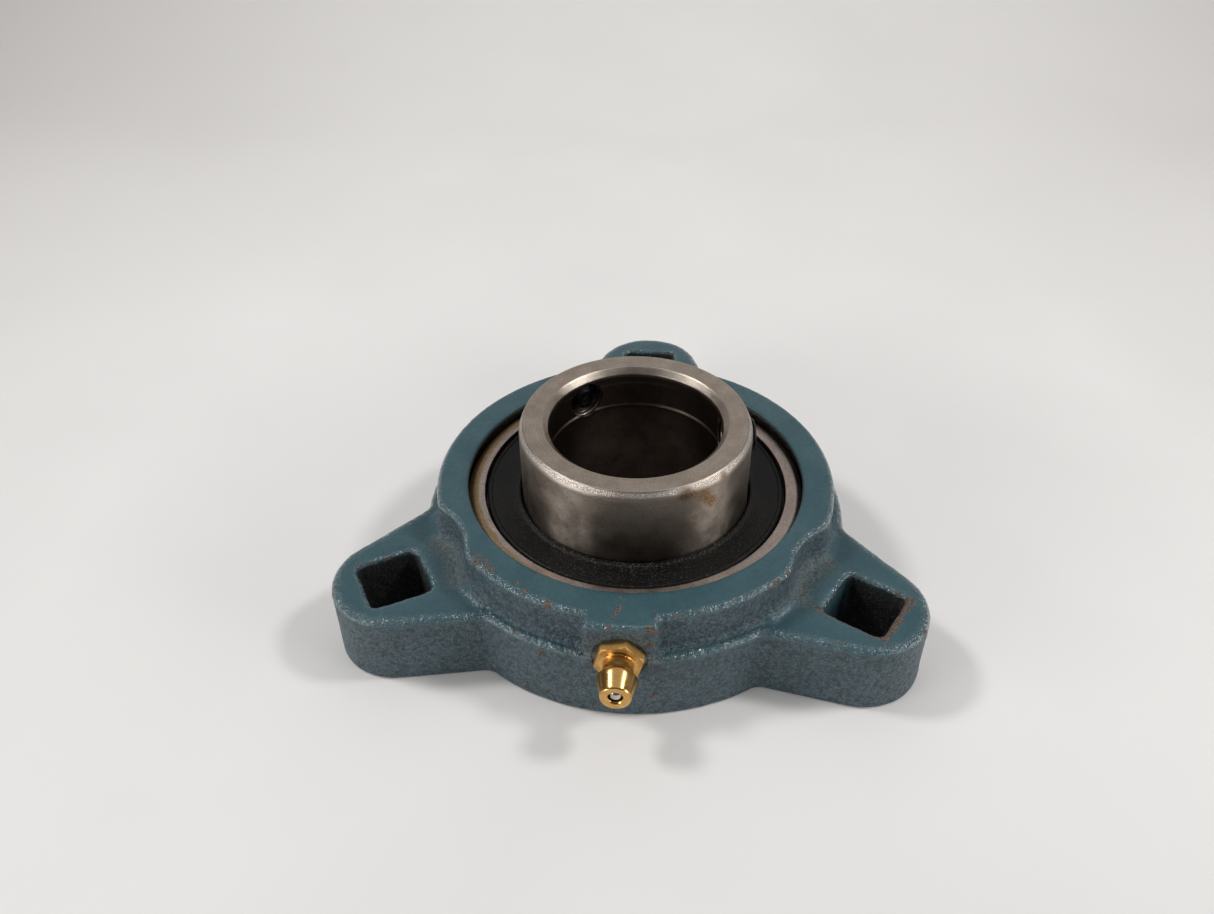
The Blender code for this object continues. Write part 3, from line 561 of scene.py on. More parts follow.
def black_oxide_steel():
    """Hot-blacked alloy steel set screw: a thin blue-black film, worn to grey on the thread crests."""
    material, tree, shader = start("black_oxide_steel", Metallic=1.0)
    place = in_mm(tree)
    crest = add(tree, "Attribute", {}, out="Fac", attribute_name="crest")
    cloud = add(tree, "TexNoise", {"Vector": place, "Scale": 1 / 1.2, "Detail": 3.0})
    rub = add(tree, "TexNoise", {"Vector": place, "Scale": 1 / 0.5, "Detail": 3.0})
    fine = add(tree, "TexNoise", {"Vector": place, "Scale": 1 / 0.2, "Detail": 2.0})
    share = add(tree, "MapRange", [cloud, 0.3, 0.7], interpolation_type="SMOOTHSTEP")
    colour = add(tree, "Mix", [share, "#191a1c", "#2c2c30"], data_type="RGBA")
    share = add(tree, "MapRange", [rub, 0.40, 0.60], interpolation_type="SMOOTHSTEP")
    worn = add(tree, "Math", [crest, share], operation="MULTIPLY")
    colour = add(tree, "Mix", [worn, colour, "#8d8a86"], data_type="RGBA")
    satin = add(tree, "MapRange", [cloud, 0.3, 0.7, 0.32, 0.48], interpolation_type="SMOOTHSTEP")
    normal = add(tree, "Bump", {"Height": cut_marks(tree, 0.2, 0.6), "Distance": 0.01 * MM})
    normal = add(tree, "Bump", {"Height": fine, "Distance": 0.01 * MM, "Normal": normal})
    finish(tree, shader, Base_Color=colour, Roughness=satin, Normal=normal)
    return material


def free_cutting_brass():
    """Free-cutting brass turned from hexagon bar: bright lathe rings, dull drawn flats, brown tarnish."""
    material, tree, shader = start("free_cutting_brass", Metallic=1.0)
    place = in_mm(tree)
    grime = add(tree, "Attribute", {}, out="Fac", attribute_name="grime")
    dull = add(tree, "Attribute", {}, out="Fac", attribute_name="dull")
    rings = cut_marks(tree, 0.16, 0.8)
    cloud = add(tree, "TexNoise", {"Vector": place, "Scale": 1 / 1.4, "Detail": 4.0, "Roughness": 0.6})
    share = add(tree, "MapRange", [cloud, 0.32, 0.68], interpolation_type="SMOOTHSTEP")
    colour = add(tree, "Mix", [share, "#dfb571", "#c89b5d"], data_type="RGBA")
    share = add(tree, "MapRange", [rings, 0.35, 0.7, 0.0, 0.3], interpolation_type="SMOOTHSTEP")
    colour = add(tree, "Mix", [share, colour, "#a97f45"], data_type="RGBA")
    tarnish = add(tree, "Math", [grime, 0.6], operation="MULTIPLY")
    tarnish = add(tree, "Math", [cloud, 0.6, tarnish], operation="MULTIPLY_ADD")
    dirt = add(tree, "MapRange", [tarnish, 0.55, 0.85], interpolation_type="SMOOTHSTEP")
    colour = add(tree, "Mix", [dirt, colour, "#3a2a1a"], data_type="RGBA")
    satin = add(tree, "MapRange", [cloud, 0.3, 0.7, 0.17, 0.27], interpolation_type="SMOOTHSTEP")
    satin = add(tree, "Math", [dirt, 0.3, satin], operation="MULTIPLY_ADD")
    satin = add(tree, "Math", [dull, 0.32, satin], operation="MULTIPLY_ADD")
    normal = add(tree, "Bump", {"Height": rings, "Distance": 0.012 * MM})
    normal = add(tree, "Bump", {"Height": cloud, "Distance": 0.01 * MM, "Normal": normal})
    finish(tree, shader, Base_Color=colour, Roughness=satin, Normal=normal)
    return material


def spring_wire_steel():
    """Drawn music wire: bright grey with fine lines drawn along it."""
    material, tree, shader = start("spring_wire_steel", Metallic=1.0)
    lines = add(tree, "TexNoise", {"Vector": in_mm(tree), "Scale": 1 / 0.2, "Detail": 3.0})
    share = add(tree, "MapRange", [lines, 0.3, 0.7], interpolation_type="SMOOTHSTEP")
    colour = add(tree, "Mix", [share, "#8f8b86", "#bdb9b3"], data_type="RGBA")
    satin = add(tree, "MapRange", [lines, 0.3, 0.7, 0.2, 0.35], interpolation_type="SMOOTHSTEP")
    normal = add(tree, "Bump", {"Height": lines, "Distance": 0.004 * MM})
    finish(tree, shader, Base_Color=colour, Roughness=satin, Normal=normal)
    return material


def studio_paper():
    """Matt white backdrop paper, very slightly warm and uneven, and greyer away from the object as painted
    shade.
    """
    material, tree, shader = start("studio_paper", Roughness=0.9)
    place = in_mm(tree)
    uneven = add(tree, "TexNoise", {"Vector": place, "Scale": 1 / 90.0, "Detail": 3.0})
    share = add(tree, "MapRange", [uneven, 0.3, 0.7], interpolation_type="SMOOTHSTEP")
    paper = add(tree, "Mix", [share, "#edebe9", "#f2f0ee"], data_type="RGBA")
    # Painted shade: the paper turns greyer from 110 to 320 mm away from the object, for light falling off
    # towards its edges
    squeezed = add(tree, "VectorMath", [place, (1.0, 0.5, 0.0)], operation="MULTIPLY")
    reach = add(tree, "VectorMath", [squeezed], out="Value", operation="LENGTH")
    share = add(tree, "MapRange", [reach, 110.0, 320.0])
    paper = add(tree, "Mix", [share, paper, "#c8c5c3"], data_type="RGBA")
    finish(tree, shader, Base_Color=paper)
    return material


# ---------------------------------------------------------------- housing

def lower_distance(x, y):
    """Signed distance from the flange's outline, in millimetres, positive outside.

    A point is folded onto half a lobe lying along +x. It is then measured from whichever of the four pieces
    of outline faces it: the lobe's end arc, its straight side, the hollow fillet or the round body.
    """
    radius = np.hypot(x, y)
    angle = np.abs((np.arctan2(y, x) - np.pi / 2 + THIRD / 2) % THIRD - THIRD / 2)
    px = radius * np.cos(angle)
    py = radius * np.sin(angle)
    nx, ny = math.sin(LOBE_TAPER), math.cos(LOBE_TAPER)
    across = nx * px + ny * py
    along = ny * px - nx * py
    side_at = BOLT_CIRCLE * nx + LOBE_END
    fillet_across = side_at + LOBE_FILLET
    fillet_along = math.sqrt((LOWER_RADIUS + LOBE_FILLET) ** 2 - fillet_across ** 2)
    fx = nx * fillet_across + ny * fillet_along
    fy = ny * fillet_across - nx * fillet_along
    side = across - side_at
    end = np.hypot(px - BOLT_CIRCLE, py) - LOBE_END
    hollow = LOBE_FILLET - np.hypot(px - fx, py - fy)
    body = radius - LOWER_RADIUS
    near = np.where(along > BOLT_CIRCLE * ny, end, side)
    far = np.where(angle < math.atan2(fy, fx), hollow, body)
    return np.where(along > fillet_along, near, far)


def upper_distance(x, y):
    """Signed distance from the raised rim: a circle less three scallops, joined to the fitting's pad."""
    rim = np.hypot(x, y) - UPPER_RADIUS
    for angle in LOBE_ANGLES:
        bx, by = BOLT_CIRCLE * math.cos(angle), BOLT_CIRCLE * math.sin(angle)
        rim = smooth_max(rim, SCALLOP_RADIUS - np.hypot(x - bx, y - by), 1.4)
    pad = smooth_max(np.abs(x) - PAD_HALF, np.hypot(x, y) - PAD_RADIUS, 0.8)
    pad = np.where(y < 0, pad, 20.0)
    return -smooth_max(-rim, -pad, 0.9)


def square_distance(x, y):
    """Signed distance from a square with rounded corners."""
    inner = SQUARE_HALF - SQUARE_CORNER
    dx = np.abs(x) - inner
    dy = np.abs(y) - inner
    outside = np.hypot(np.maximum(dx, 0.0), np.maximum(dy, 0.0))
    return outside + np.minimum(np.maximum(dx, dy), 0.0) - SQUARE_CORNER


def level(distance, angle, offset, near, far):
    """Radius where the ray at each angle meets an outline's offset line, by halving near to far."""
    angle, offset = np.broadcast_arrays(angle, offset)
    low = np.full(angle.shape, float(near))
    high = np.full(angle.shape, float(far))
    for _ in range(32):
        middle = (low + high) / 2
        outside = distance(middle * np.cos(angle), middle * np.sin(angle)) > offset
        high = np.where(outside, middle, high)
        low = np.where(outside, low, middle)
    return (low + high) / 2


def housing_angles(count):
    """Angles round the housing, closest together on the lobes and at the sides of the fitting's pad."""
    fine = np.linspace(0.0, FULL, 20001)
    lobe = np.abs((fine - np.pi / 2 + THIRD / 2) % THIRD - THIRD / 2)
    pad = np.abs(np.abs(fine - 1.5 * np.pi) - math.radians(9.4))
    crowd = 1.0 + 0.9 * (1.0 - smooth_step(0.30, 0.42, lobe)) + 5.0 * np.exp(-(pad / 0.014) ** 2)
    walked = np.concatenate([[0.0], np.cumsum((crowd[1:] + crowd[:-1]) / 2)])
    return np.interp(np.arange(count) / count * walked[-1], walked, fine)


def seat_radius(height):
    """Radius of the spherical seat at a height, with the grease groove let into it."""
    wall = np.sqrt(SEAT_RADIUS ** 2 - (height - CENTRE_Z) ** 2)
    groove = smooth_step(12.7, 13.3, height) * (1.0 - smooth_step(15.7, 16.3, height))
    return wall + groove


def housing_grid(columns):
    """The casting as rows round its section and columns round the shaft.

    The section goes out along the mounting face, up the flange wall, over its rounded edge, in across the
    ledge and the lobes, up a fillet and the rim's wall, over the rim, and down the seat. Each rounded edge of
    radius r is the outline's own offset lines, at -r (1 - cos t), so it stays round past every corner.
    """
    angle = housing_angles(columns)
    foot = 0.5
    lip = 0.95
    mouth = 0.7
    lower = level(lower_distance, angle, 0.0, 30.0, 60.0)
    upper = level(upper_distance, angle, 0.0, 29.0, 60.0)
    ledge = np.maximum(lower - upper, 0.0)
    edge = np.clip(0.42 * ledge, 0.02, 1.05)
    fillet = np.clip(0.40 * ledge, 0.02, 2.4)
    radius, height, cast = [], [], []

    def rows(r, z, roughness):
        count = max(len(np.atleast_2d(r)), len(np.atleast_2d(z)))
        shape = (count, columns)
        radius.append(np.broadcast_to(r, shape))
        height.append(np.broadcast_to(z, shape))
        cast.append(np.broadcast_to(roughness, shape))

    def low_at(offset):
        return level(lower_distance, angle, offset, 28.0, 60.0)

    def high_at(offset):
        return level(upper_distance, angle, offset, 28.0, 60.0)

    def share(count, first=True):
        return np.linspace(0.0, 1.0, count)[0 if first else 1:, None]

    t = share(5) * np.pi / 2
    rows(seat_radius(0.4) + 0.45 + (low_at(-foot) - seat_radius(0.4) - 0.45) * share(9)[:-1], 0.0, 0.0)
    rows(low_at(-foot * (1 - np.sin(t))), foot * (1 - np.cos(t)), 0.5 * np.sin(t))
    rows(lower, foot + (LOWER_TOP - edge - foot) * share(24, False), 1.0)
    t = share(8, False) * np.pi / 2
    rows(low_at(-edge * (1 - np.cos(t))), LOWER_TOP - edge * (1 - np.sin(t)), 0.85)
    rows(low_at(-edge) + (high_at(fillet) - low_at(-edge)) * share(20, False), LOWER_TOP, 0.6)
    rows(high_at(fillet * (1 - np.sin(t))), LOWER_TOP + fillet * (1 - np.cos(t)), 0.9)
    rows(upper, LOWER_TOP + fillet + (UPPER_TOP - lip - LOWER_TOP - fillet) * share(11, False), 0.9)
    rows(high_at(-lip * (1 - np.cos(t))), UPPER_TOP - lip * (1 - np.sin(t)), 0.75)
    rim_in = seat_radius(UPPER_TOP) + mouth
    rows(high_at(-lip) + (rim_in - high_at(-lip)) * share(8, False), UPPER_TOP, 0.12)
    t = share(5, False) * np.pi / 2
    z = UPPER_TOP - mouth * (1 - np.cos(t))
    rows(seat_radius(z) + mouth * (1 - np.sin(t)), z, 0.0)
    z = UPPER_TOP - mouth + (0.4 - UPPER_TOP + mouth) * share(26, False)
    rows(seat_radius(z), z, 0.0)
    rows(seat_radius(0.4) + 0.2, 0.1, 0.0)

    radius, height, cast = (np.vstack(part) for part in (radius, height, cast))
    grid = polar(radius, angle, height)
    along = np.roll(grid, -1, 1) - np.roll(grid, 1, 1)
    across = np.roll(grid, -1, 0) - np.roll(grid, 1, 0)
    normal = np.cross(along, across)
    normal /= np.maximum(np.linalg.norm(normal, axis=-1, keepdims=True), 1e-9)
    outward = polar(1.0, angle, 0.0)[None]
    outward = outward * np.sign((normal[len(normal) // 5] * outward[0]).sum())
    pinched = (smooth_step(1.2, 0.5, ledge) * (np.abs(height - LOWER_TOP) < 1.0))[..., None]
    normal = normal * (1 - pinched) + outward * pinched
    swell = lattice_noise(grid / 6.0, 3) * 0.10
    pebble = lattice_noise(grid / 1.5, 5) * 0.045 + lattice_noise(grid / 0.75, 7) * 0.030
    return grid + normal * (cast * (swell + pebble))[..., None]


def square_hole_cutters():
    """Square cutters that grow by mouth (1 - sqrt(1 - up^2)) near the top, for a rounded mouth."""
    angle = around(176, math.pi / 176)
    z = np.concatenate([[-1.5, -0.4], np.linspace(0.0, 12.6, 30), np.linspace(12.75, 13.9, 12)])[:, None]
    mouth = 0.75
    up = np.clip((z - (LOWER_TOP - mouth)) / mouth, 0.0, 1.0)
    grow = mouth * (1 - np.sqrt(1 - up * up * 0.999)) + np.maximum(z - LOWER_TOP, 0.0) * 1.5
    grow = grow + 0.3 * np.clip((0.4 - z) / 0.4, 0.0, 2.0)
    made = []
    for lobe in LOBE_ANGLES:
        radius = level(square_distance, angle, grow, 2.0, 14.0)
        local = polar(radius, angle, z)
        rough = lattice_noise(local / 1.1 + lobe * 9, 11) * 0.10
        rough = rough + lattice_noise(local / 0.5 + lobe, 13) * 0.05
        local = polar(radius + rough * smooth_step(0.0, 0.8, z) + 0.05, angle, z)
        c, s = math.cos(lobe), math.sin(lobe)
        turn = np.array([[c, s, 0.0], [-s, c, 0.0], [0.0, 0.0, 1.0]])
        placed = (local + np.array([BOLT_CIRCLE, 0.0, 0.0])) @ turn + SHAFT_FOOT
        made.append(build("square_cutter", placed, "poles"))
    return made


def fitting_hole_cutter():
    """Turned cutter for the fitting's spotface and tapped hole; its mouth flares like a drilled edge."""
    corners = [(0.0, 3.0, 0.1), (5.1, 3.0, 0.1), (4.6, 0.3, 0.3), (4.35, -0.45, 0.15), (3.5, -0.45, 0.10),
               (3.15, -0.85, 0.15), (3.15, -8.0, 0.1), (0.0, -8.0, 0.1)]
    profile = refine(fillet_corners(corners, False)[1:-1], 0.4, False)
    angle = around(96)
    local = polar(profile[:, :1], angle, profile[:, 1:])
    rough = lattice_noise(local / 0.9, 17) * 0.06
    local = polar(profile[:, :1] + rough, angle, profile[:, 1:])
    return build("fitting_cutter", turn_to(local, PAD_CENTRE, (0, -1, 0)), "poles")


def loading_slot_cutter():
    """Slots that let the insert in on edge: radius min(31.3, 8.3 / |sin|), open at the mounting face."""
    angle = around(320)
    reach = -smooth_max(-31.3 + 0 * angle, -8.3 / np.maximum(np.abs(np.sin(angle)), 0.1), 0.9)
    z = np.concatenate([[-1.0, -0.3, 0.0, 0.3], np.linspace(0.8, 9.3, 14), [9.6, 9.8, 9.9]])[:, None]
    shrink = np.concatenate([np.linspace(0.5, 0.0, 4), np.zeros(14), [0.08, 0.25, 0.5]])[:, None]
    grid = polar(reach + np.where(z < 0.5, shrink, -shrink), angle, z) + SHAFT_FOOT
    return build("slot_cutter", grid, "poles")


def hole_distance(place):
    """Signed distance from the nearest square hole's outline, seen from above."""
    nearest = np.full(len(place), 99.0)
    for lobe in LOBE_ANGLES:
        c, s = math.cos(lobe), math.sin(lobe)
        x = place[:, 0] * c + (place[:, 1] - AXIS_Y) * s - BOLT_CIRCLE
        y = -place[:, 0] * s + (place[:, 1] - AXIS_Y) * c
        nearest = np.minimum(nearest, square_distance(x, y))
    return nearest


# Marks of wear on the casting, each (x, y, z, radius, strength) in millimetres
RIM_PATCH = [(-23.8, -29.6, 20.4, 2.1, 0.30), (-22.3, -31.0, 20.4, 2.3, 0.31),
             (-20.9, -32.4, 20.3, 1.8, 0.29), (-24.9, -28.3, 20.2, 1.5, 0.30)]
RIM_CHIPS = [(-16.7, -34.4, 20.5, 0.55, 1.1), (-15.2, -36.0, 20.2, 0.8, 0.8),
             (-9.4, -36.7, 20.5, 0.35, 0.9), (-0.5, -36.4, 20.5, 0.4, 0.9),
             (5.2, -38.9, 20.5, 0.4, 0.8), (-11.5, -38.2, 19.9, 1.1, 0.8),
             (-6.1, -42.2, 20.2, 0.6, 1.0), (4.6, -42.2, 19.9, 0.9, 1.0),
             (6.0, -41.6, 19.0, 0.8, 0.9), (8.6, -39.2, 20.2, 0.5, 0.9),
             (24.3, -31.0, 20.2, 1.2, 0.8), (26.3, -28.9, 20.2, 1.1, 0.8),
             (30.0, -22.5, 20.2, 1.4, 0.7), (31.5, -20.0, 20.2, 1.2, 0.7)]
PAD_SCRATCH = [(-0.1, -38.3, 20.5, 0.42, 1.0), (-0.5, -39.2, 20.5, 0.38, 1.0),
               (-0.9, -40.2, 20.5, 0.42, 1.1), (-1.3, -41.2, 20.5, 0.40, 1.0),
               (-1.7, -42.2, 20.3, 0.45, 1.0)]
WALL_CHIPS = [(-7.8, -42.6, 12.6, 0.8, 0.8), (-12.5, -40.6, 11.5, 0.9, 0.8),
              (5.4, -42.9, 5.2, 0.7, 1.1), (4.6, -42.7, 17.0, 1.1, 0.8),
              (-5.4, -42.6, 15.6, 0.9, 0.7), (-36.5, -43.3, 11.0, 0.8, 0.8),
              (-48.7, -32.3, 12.9, 0.8, 0.9), (22.5, -40.4, 9.6, 1.0, 0.8),
              (16.0, -41.4, 11.2, 0.7, 0.7), (48.6, -33.5, 13.2, 1.2, 0.8),
              (44.0, -38.4, 13.0, 0.9, 0.7)]


def hole_chips(place, away):
    """Paint lifted round the square holes: a worn ring on the left lobe, bare bands on the right one."""
    x = place[:, 0]
    y = place[:, 1] - AXIS_Y
    top = smooth_step(12.2, 13.2, place[:, 2])
    left = np.exp(-(((x + 39.2) / 11.0) ** 2 + ((y + 22.6) / 11.0) ** 4))
    ring = np.abs(np.hypot(x + 39.2, y + 22.65) - 8.6)
    patchy = smooth_step(-0.2, 0.5, lattice_noise(place / 3.0, 23) + 0.25)
    worn_ring = np.exp(-(ring / 0.30) ** 2) * patchy
    broken = smooth_step(-0.35, 0.45, lattice_noise(place / 1.8, 29))
    lip = np.exp(-(np.maximum(away - 0.1, 0.0) / 0.30) ** 2) * broken
    outward, sideways = right_hole_axes(place)
    near = (np.hypot(outward, sideways) < 11.0) * (away > -0.4)
    ragged = 0.35 * lattice_noise(place / 1.3, 37)
    outer_band = smooth_step(1.5, 0.9, outward - SQUARE_HALF + ragged) * (outward > SQUARE_HALF - 0.3)
    front_band = smooth_step(1.1, 0.6, -sideways - SQUARE_HALF + ragged) * (sideways < -SQUARE_HALF + 0.3)
    inside_reach = (np.abs(sideways) < SQUARE_HALF + 0.6) * (np.abs(outward) < SQUARE_HALF + 1.3)
    bands = near * inside_reach * np.maximum(outer_band, front_band)
    return top * (0.75 * left * worn_ring + 0.55 * lip + 0.95 * bands)


def right_hole_axes(place):
    """Distances from the right lobe's hole: out from the shaft, and across that towards the back."""
    c, s = math.cos(LOBE_ANGLES[2]), math.sin(LOBE_ANGLES[2])
    x, y = place[:, 0], place[:, 1] - AXIS_Y
    return x * c + y * s - BOLT_CIRCLE, -x * s + y * c


def make_housing(material):
    """The casting: one grid, cut for its holes and loading slots, then marked for wear."""
    grid = housing_grid(760) + SHAFT_FOOT
    housing = build("cast_housing", grid, "ring", material, "housing", ["housing"])
    carve(housing, [*square_hole_cutters(), fitting_hole_cutter(), loading_slot_cutter()])
    place = places_of(housing)
    x, y, z = place[:, 0], place[:, 1] - AXIS_Y, place[:, 2]
    radius = np.hypot(x, y)
    lower = lower_distance(x, y)
    upper = upper_distance(x, y)
    away = hole_distance(place)
    lower_edge = np.hypot(lower, z - LOWER_TOP)
    upper_edge = np.hypot(upper, z - UPPER_TOP)
    hole_edge = np.hypot(away, z - LOWER_TOP)
    edge = np.exp(-(np.minimum(np.minimum(lower_edge, upper_edge), hole_edge) / 1.1) ** 2)
    ledge = np.exp(-((z - LOWER_TOP) / 1.2) ** 2) * smooth_step(-3.0, -0.5, lower) * (upper > -0.5)
    on_wall = np.maximum((lower > -0.6) * smooth_step(LOWER_TOP - 0.3, LOWER_TOP - 1.6, z),
                         (np.abs(upper) < 0.6) * smooth_step(UPPER_TOP - 0.3, UPPER_TOP - 1.6, z))
    on_wall = on_wall * (away > 0.5)
    inside = smooth_step(0.7, 0.35, away) * smooth_step(LOWER_TOP - 0.3, LOWER_TOP - 1.1, z)
    outward, sideways = right_hole_axes(place)
    painted = smooth_step(-4.4, -4.9, outward) * (np.abs(sideways) < 6.0) * (outward > -6.5)
    inside = inside * (1.0 - 0.75 * painted * smooth_step(2.0, 8.0, z))
    # Painted shade: the fitting's spotface is coloured black only in its upper part, where the pad's lip
    # shades it; the square holes' own black is set above
    spot = np.hypot(x, z - FITTING_Z)
    painted_spotface_shade = smooth_step(FITTING_Z - 0.5, FITTING_Z + 2.0, z)
    inside = np.maximum(inside, painted_spotface_shade * smooth_step(4.9, 4.5, spot) * smooth_step(-37.3, -36.8, y) * (y < 0))
    bare = np.maximum((radius < seat_radius(np.clip(z, 0, UPPER_TOP)) + 0.25) * smooth_step(20.2, 19.6, z),
                      smooth_step(0.25, 0.05, z) * smooth_step(-0.2, -1.2, lower))
    saddle = np.exp(-((upper - 2.0) / 1.6) ** 2) * smooth_step(-6.0, -9.0, lower) * smooth_step(15.6, 14.6, z)
    chips = spots(place, RIM_PATCH + RIM_CHIPS + PAD_SCRATCH + WALL_CHIPS) + hole_chips(place, away)
    mark(housing, edge=np.maximum(edge, 0.8 * ledge), wall=np.maximum(on_wall, 0.75 * saddle), inside=inside,
         bare=bare * (away > 0.6), chips=chips, dust=0.35 * saddle)
    return housing


# ---------------------------------------------------------------- insert

def turned_grid(corners, columns, step, closed=True):
    """A profile through rounded corners, refined to a step and spun round its axis."""
    profile = fillet_corners(corners, closed)
    profile = refine(profile, step, closed)
    if not closed:
        profile = profile[1:-1]
    return polar(profile[:, :1], around(columns), profile[:, 1:])


def race_corners(centre_radius, facing, land, curve=4.95, count=9):
    """A ball race's (radius, height, cut) corners, at centre_radius + facing * curve * cos."""
    reach = math.acos(abs(land - centre_radius) / curve)
    angle = np.linspace(-reach, reach, count)
    return [(centre_radius + facing * curve * math.cos(a), curve * math.sin(a), 0.3) for a in angle]


# Dried oil on the inner ring, each (x, y, z, radius, strength) from the insert's centre in millimetres
OIL_STAINS = [(9.2, -17.9, 20.6, 1.6, 1.0), (12.0, -16.2, 19.4, 1.9, 1.1), (13.6, -14.9, 16.9, 1.7, 0.9),
              (10.8, -17.0, 15.0, 1.2, 0.8), (15.2, -13.2, 21.0, 1.3, 0.8), (-18.2, 2.0, 21.8, 0.9, 0.6)]


def make_inner_ring(material):
    """The long inner ring: sleeve, bevelled end, chamfered bore, relief groove and two tapped holes."""
    race = race_corners(PITCH_RADIUS - 0.1, -1, RING_RADIUS)
    corners = [(16.13, -8.0, 0.12), (19.65, -8.0, 0.15), (RING_RADIUS, -7.5, 0.15), *race,
               (RING_RADIUS, 20.5, 0.25), (19.5, 22.0, 0.22), (16.13, 22.0, 0.14), (BORE_RADIUS, 20.95, 0.14),
               (BORE_RADIUS, 19.3, 0.08), (15.4, 19.0, 0.08), (15.4, 14.3, 0.08), (BORE_RADIUS, 14.0, 0.08),
               (BORE_RADIUS, -6.95, 0.14)]
    grid = turned_grid(corners, 300, 0.42) + INSERT_CENTRE
    ring = build("inner_race_ring", grid, "ring", material, "inner_ring", ["inner_ring"])
    carve(ring, [tapped_hole_cutter(angle) for angle in SCREW_ANGLES])
    place = places_of(ring)
    x, y, z = place[:, 0], place[:, 1] - AXIS_Y, place[:, 2] - CENTRE_Z
    radius = np.hypot(x, y)
    bevel = 0.8 * np.exp(-((radius - 19.75) / 0.30) ** 2) * np.exp(-((z - 21.4) / 0.7) ** 2)
    chamfer = (radius < 16.2) * smooth_step(20.8, 21.1, z)
    stain = spots(place - INSERT_CENTRE, OIL_STAINS)
    # inner marks the bore below its chamfer, which the steel's material darkens as painted shade
    mark(ring, stain=stain, rubbed=bevel + 0.15 * chamfer, inner=(radius < 15.7) * smooth_step(20.9, 20.2, z),
         # upright marks the outer face, which the material draws out along the shaft and darkens as painted
         # shade
         upright=(radius > 19.9) * smooth_step(21.2, 20.6, z))
    mark_turning(ring, INSERT_CENTRE, (0, 0, 1))


def thread_rise(along, angle, pitch):
    """A thread's height, 0 at its root and 1 at its crest: a triangle wave of along / pitch - angle."""
    phase = (along / pitch - angle / FULL) % 1.0
    return 1.0 - np.abs(2.0 * phase - 1.0)


def tapped_hole_cutter(angle):
    """A cutter like a tap: radius 3.25 plus the thread's rise, from inside the bore to outside the ring."""
    z = np.linspace(13.4, 21.8, 64)[:, None]
    turn = around(56)
    radius = 3.25 + 0.28 * thread_rise(z, turn, THREAD_PITCH)
    outward = (math.cos(angle), math.sin(angle), 0.0)
    placed = turn_to(polar(radius, turn, z), (0.0, AXIS_Y, SCREW_HEIGHT), outward)
    return build("tap_cutter", placed, "poles")


def make_outer_ring(material):
    """The outer ring: spherical outside, ground faces with broken edges, seal pockets and the ball race."""
    sphere = [(math.sqrt(SPHERE_RADIUS ** 2 - h * h), h, 0.5) for h in np.linspace(-7.2, 7.2, 13)]
    race = race_corners(PITCH_RADIUS + 0.1, 1, 26.0)
    corners = [(26.87, -HALF_WIDTH, 0.18), (28.95, -HALF_WIDTH, 0.3), *sphere,
               (28.95, HALF_WIDTH, 0.3), (26.87, HALF_WIDTH, 0.18), (26.87, 6.0, 0.1), (26.0, 6.0, 0.1),
               *race[::-1], (26.0, -6.0, 0.1), (26.87, -6.0, 0.1)]
    grid = turned_grid(corners, 300, 0.5) + INSERT_CENTRE
    ring = build("outer_race_ring", grid, "ring", material, "insert", ["outer_ring"])
    z = np.linspace(26.0, 33.0, 8)[:, None]
    drill = turn_to(polar(1.0 + 0 * z, around(32), z), (0.0, AXIS_Y, CENTRE_Z + 4.9), (0, -1, 0))
    carve(ring, [build("drill_cutter", drill, "poles")])
    place = places_of(ring)
    x, y, z = place[:, 0], place[:, 1] - AXIS_Y, place[:, 2] - CENTRE_Z
    radius = np.hypot(x, y)
    turn = np.degrees(np.arctan2(y, x)) % 360.0
    left = smooth_step(120.0, 150.0, turn) * smooth_step(262.0, 236.0, turn)
    outer_half = smooth_step(27.5, 28.1, radius + 0.35 * lattice_noise(place / 1.6, 31))
    rim = np.exp(-((radius - 28.9) / 0.35) ** 2) * (z > 6.5)
    stain = left * outer_half * (z > 6.5)
    mark(ring, stain=stain, rubbed=0.35 * rim * (1 - left), inner=0.0 * radius, upright=0.0 * radius)
    mark_turning(ring, INSERT_CENTRE, (0, 0, 1))


def make_seals(rubber, core_steel):
    """Rubber seals moulded as channels, with a lip by the inner ring and a bead by the outer ring."""
    core = [(21.55, 6.3, 0.08), (25.6, 6.3, 0.08), (25.6, 6.8, 0.08), (21.55, 6.8, 0.08)]
    skin = [(20.45, 6.3, 0.1), (21.25, 6.3, 0.1), (21.25, 7.1, 0.1), (25.9, 7.1, 0.1), (25.9, 6.3, 0.1),
            (26.5, 6.3, 0.15), (26.5, 7.35, 0.25), (26.15, 7.7, 0.15), (25.75, 7.7, 0.12), (25.6, 7.5, 0.12),
            (21.6, 7.44, 0.2), (21.2, 7.62, 0.2), (20.75, 7.7, 0.12), (20.45, 7.45, 0.12)]
    for side, up in (("front", 1.0), ("rear", -1.0)):
        for part, corners, material, slot in (("rubber", skin, rubber, "black_rubber"),
                                              ("core", core, core_steel, "cage_steel")):
            grid = turned_grid(corners, 240, 0.35) * np.array([1.0, 1.0, up]) + INSERT_CENTRE
            name = f"{side}_seal_{part}"
            seal = build(name, grid, "ring", material, "insert", [f"seal_{side}_{part}"])
            mark_turning(seal, INSERT_CENTRE, (0, 0, 1))
            if part == "rubber":
                place = places_of(seal)
                radius = np.hypot(place[:, 0], place[:, 1] - AXIS_Y)
                front = smooth_step(10.0, -25.0, place[:, 1] - AXIS_Y)
                mark(seal, dust=0.22 * front + 0.25 * np.exp(-((radius - 21.2) / 0.8) ** 2) * front)


def on_pitch_circle(turn):
    """The place on the balls' pitch circle at an angle round the shaft."""
    return INSERT_CENTRE + PITCH_RADIUS * np.array([math.cos(turn), math.sin(turn), 0.0])


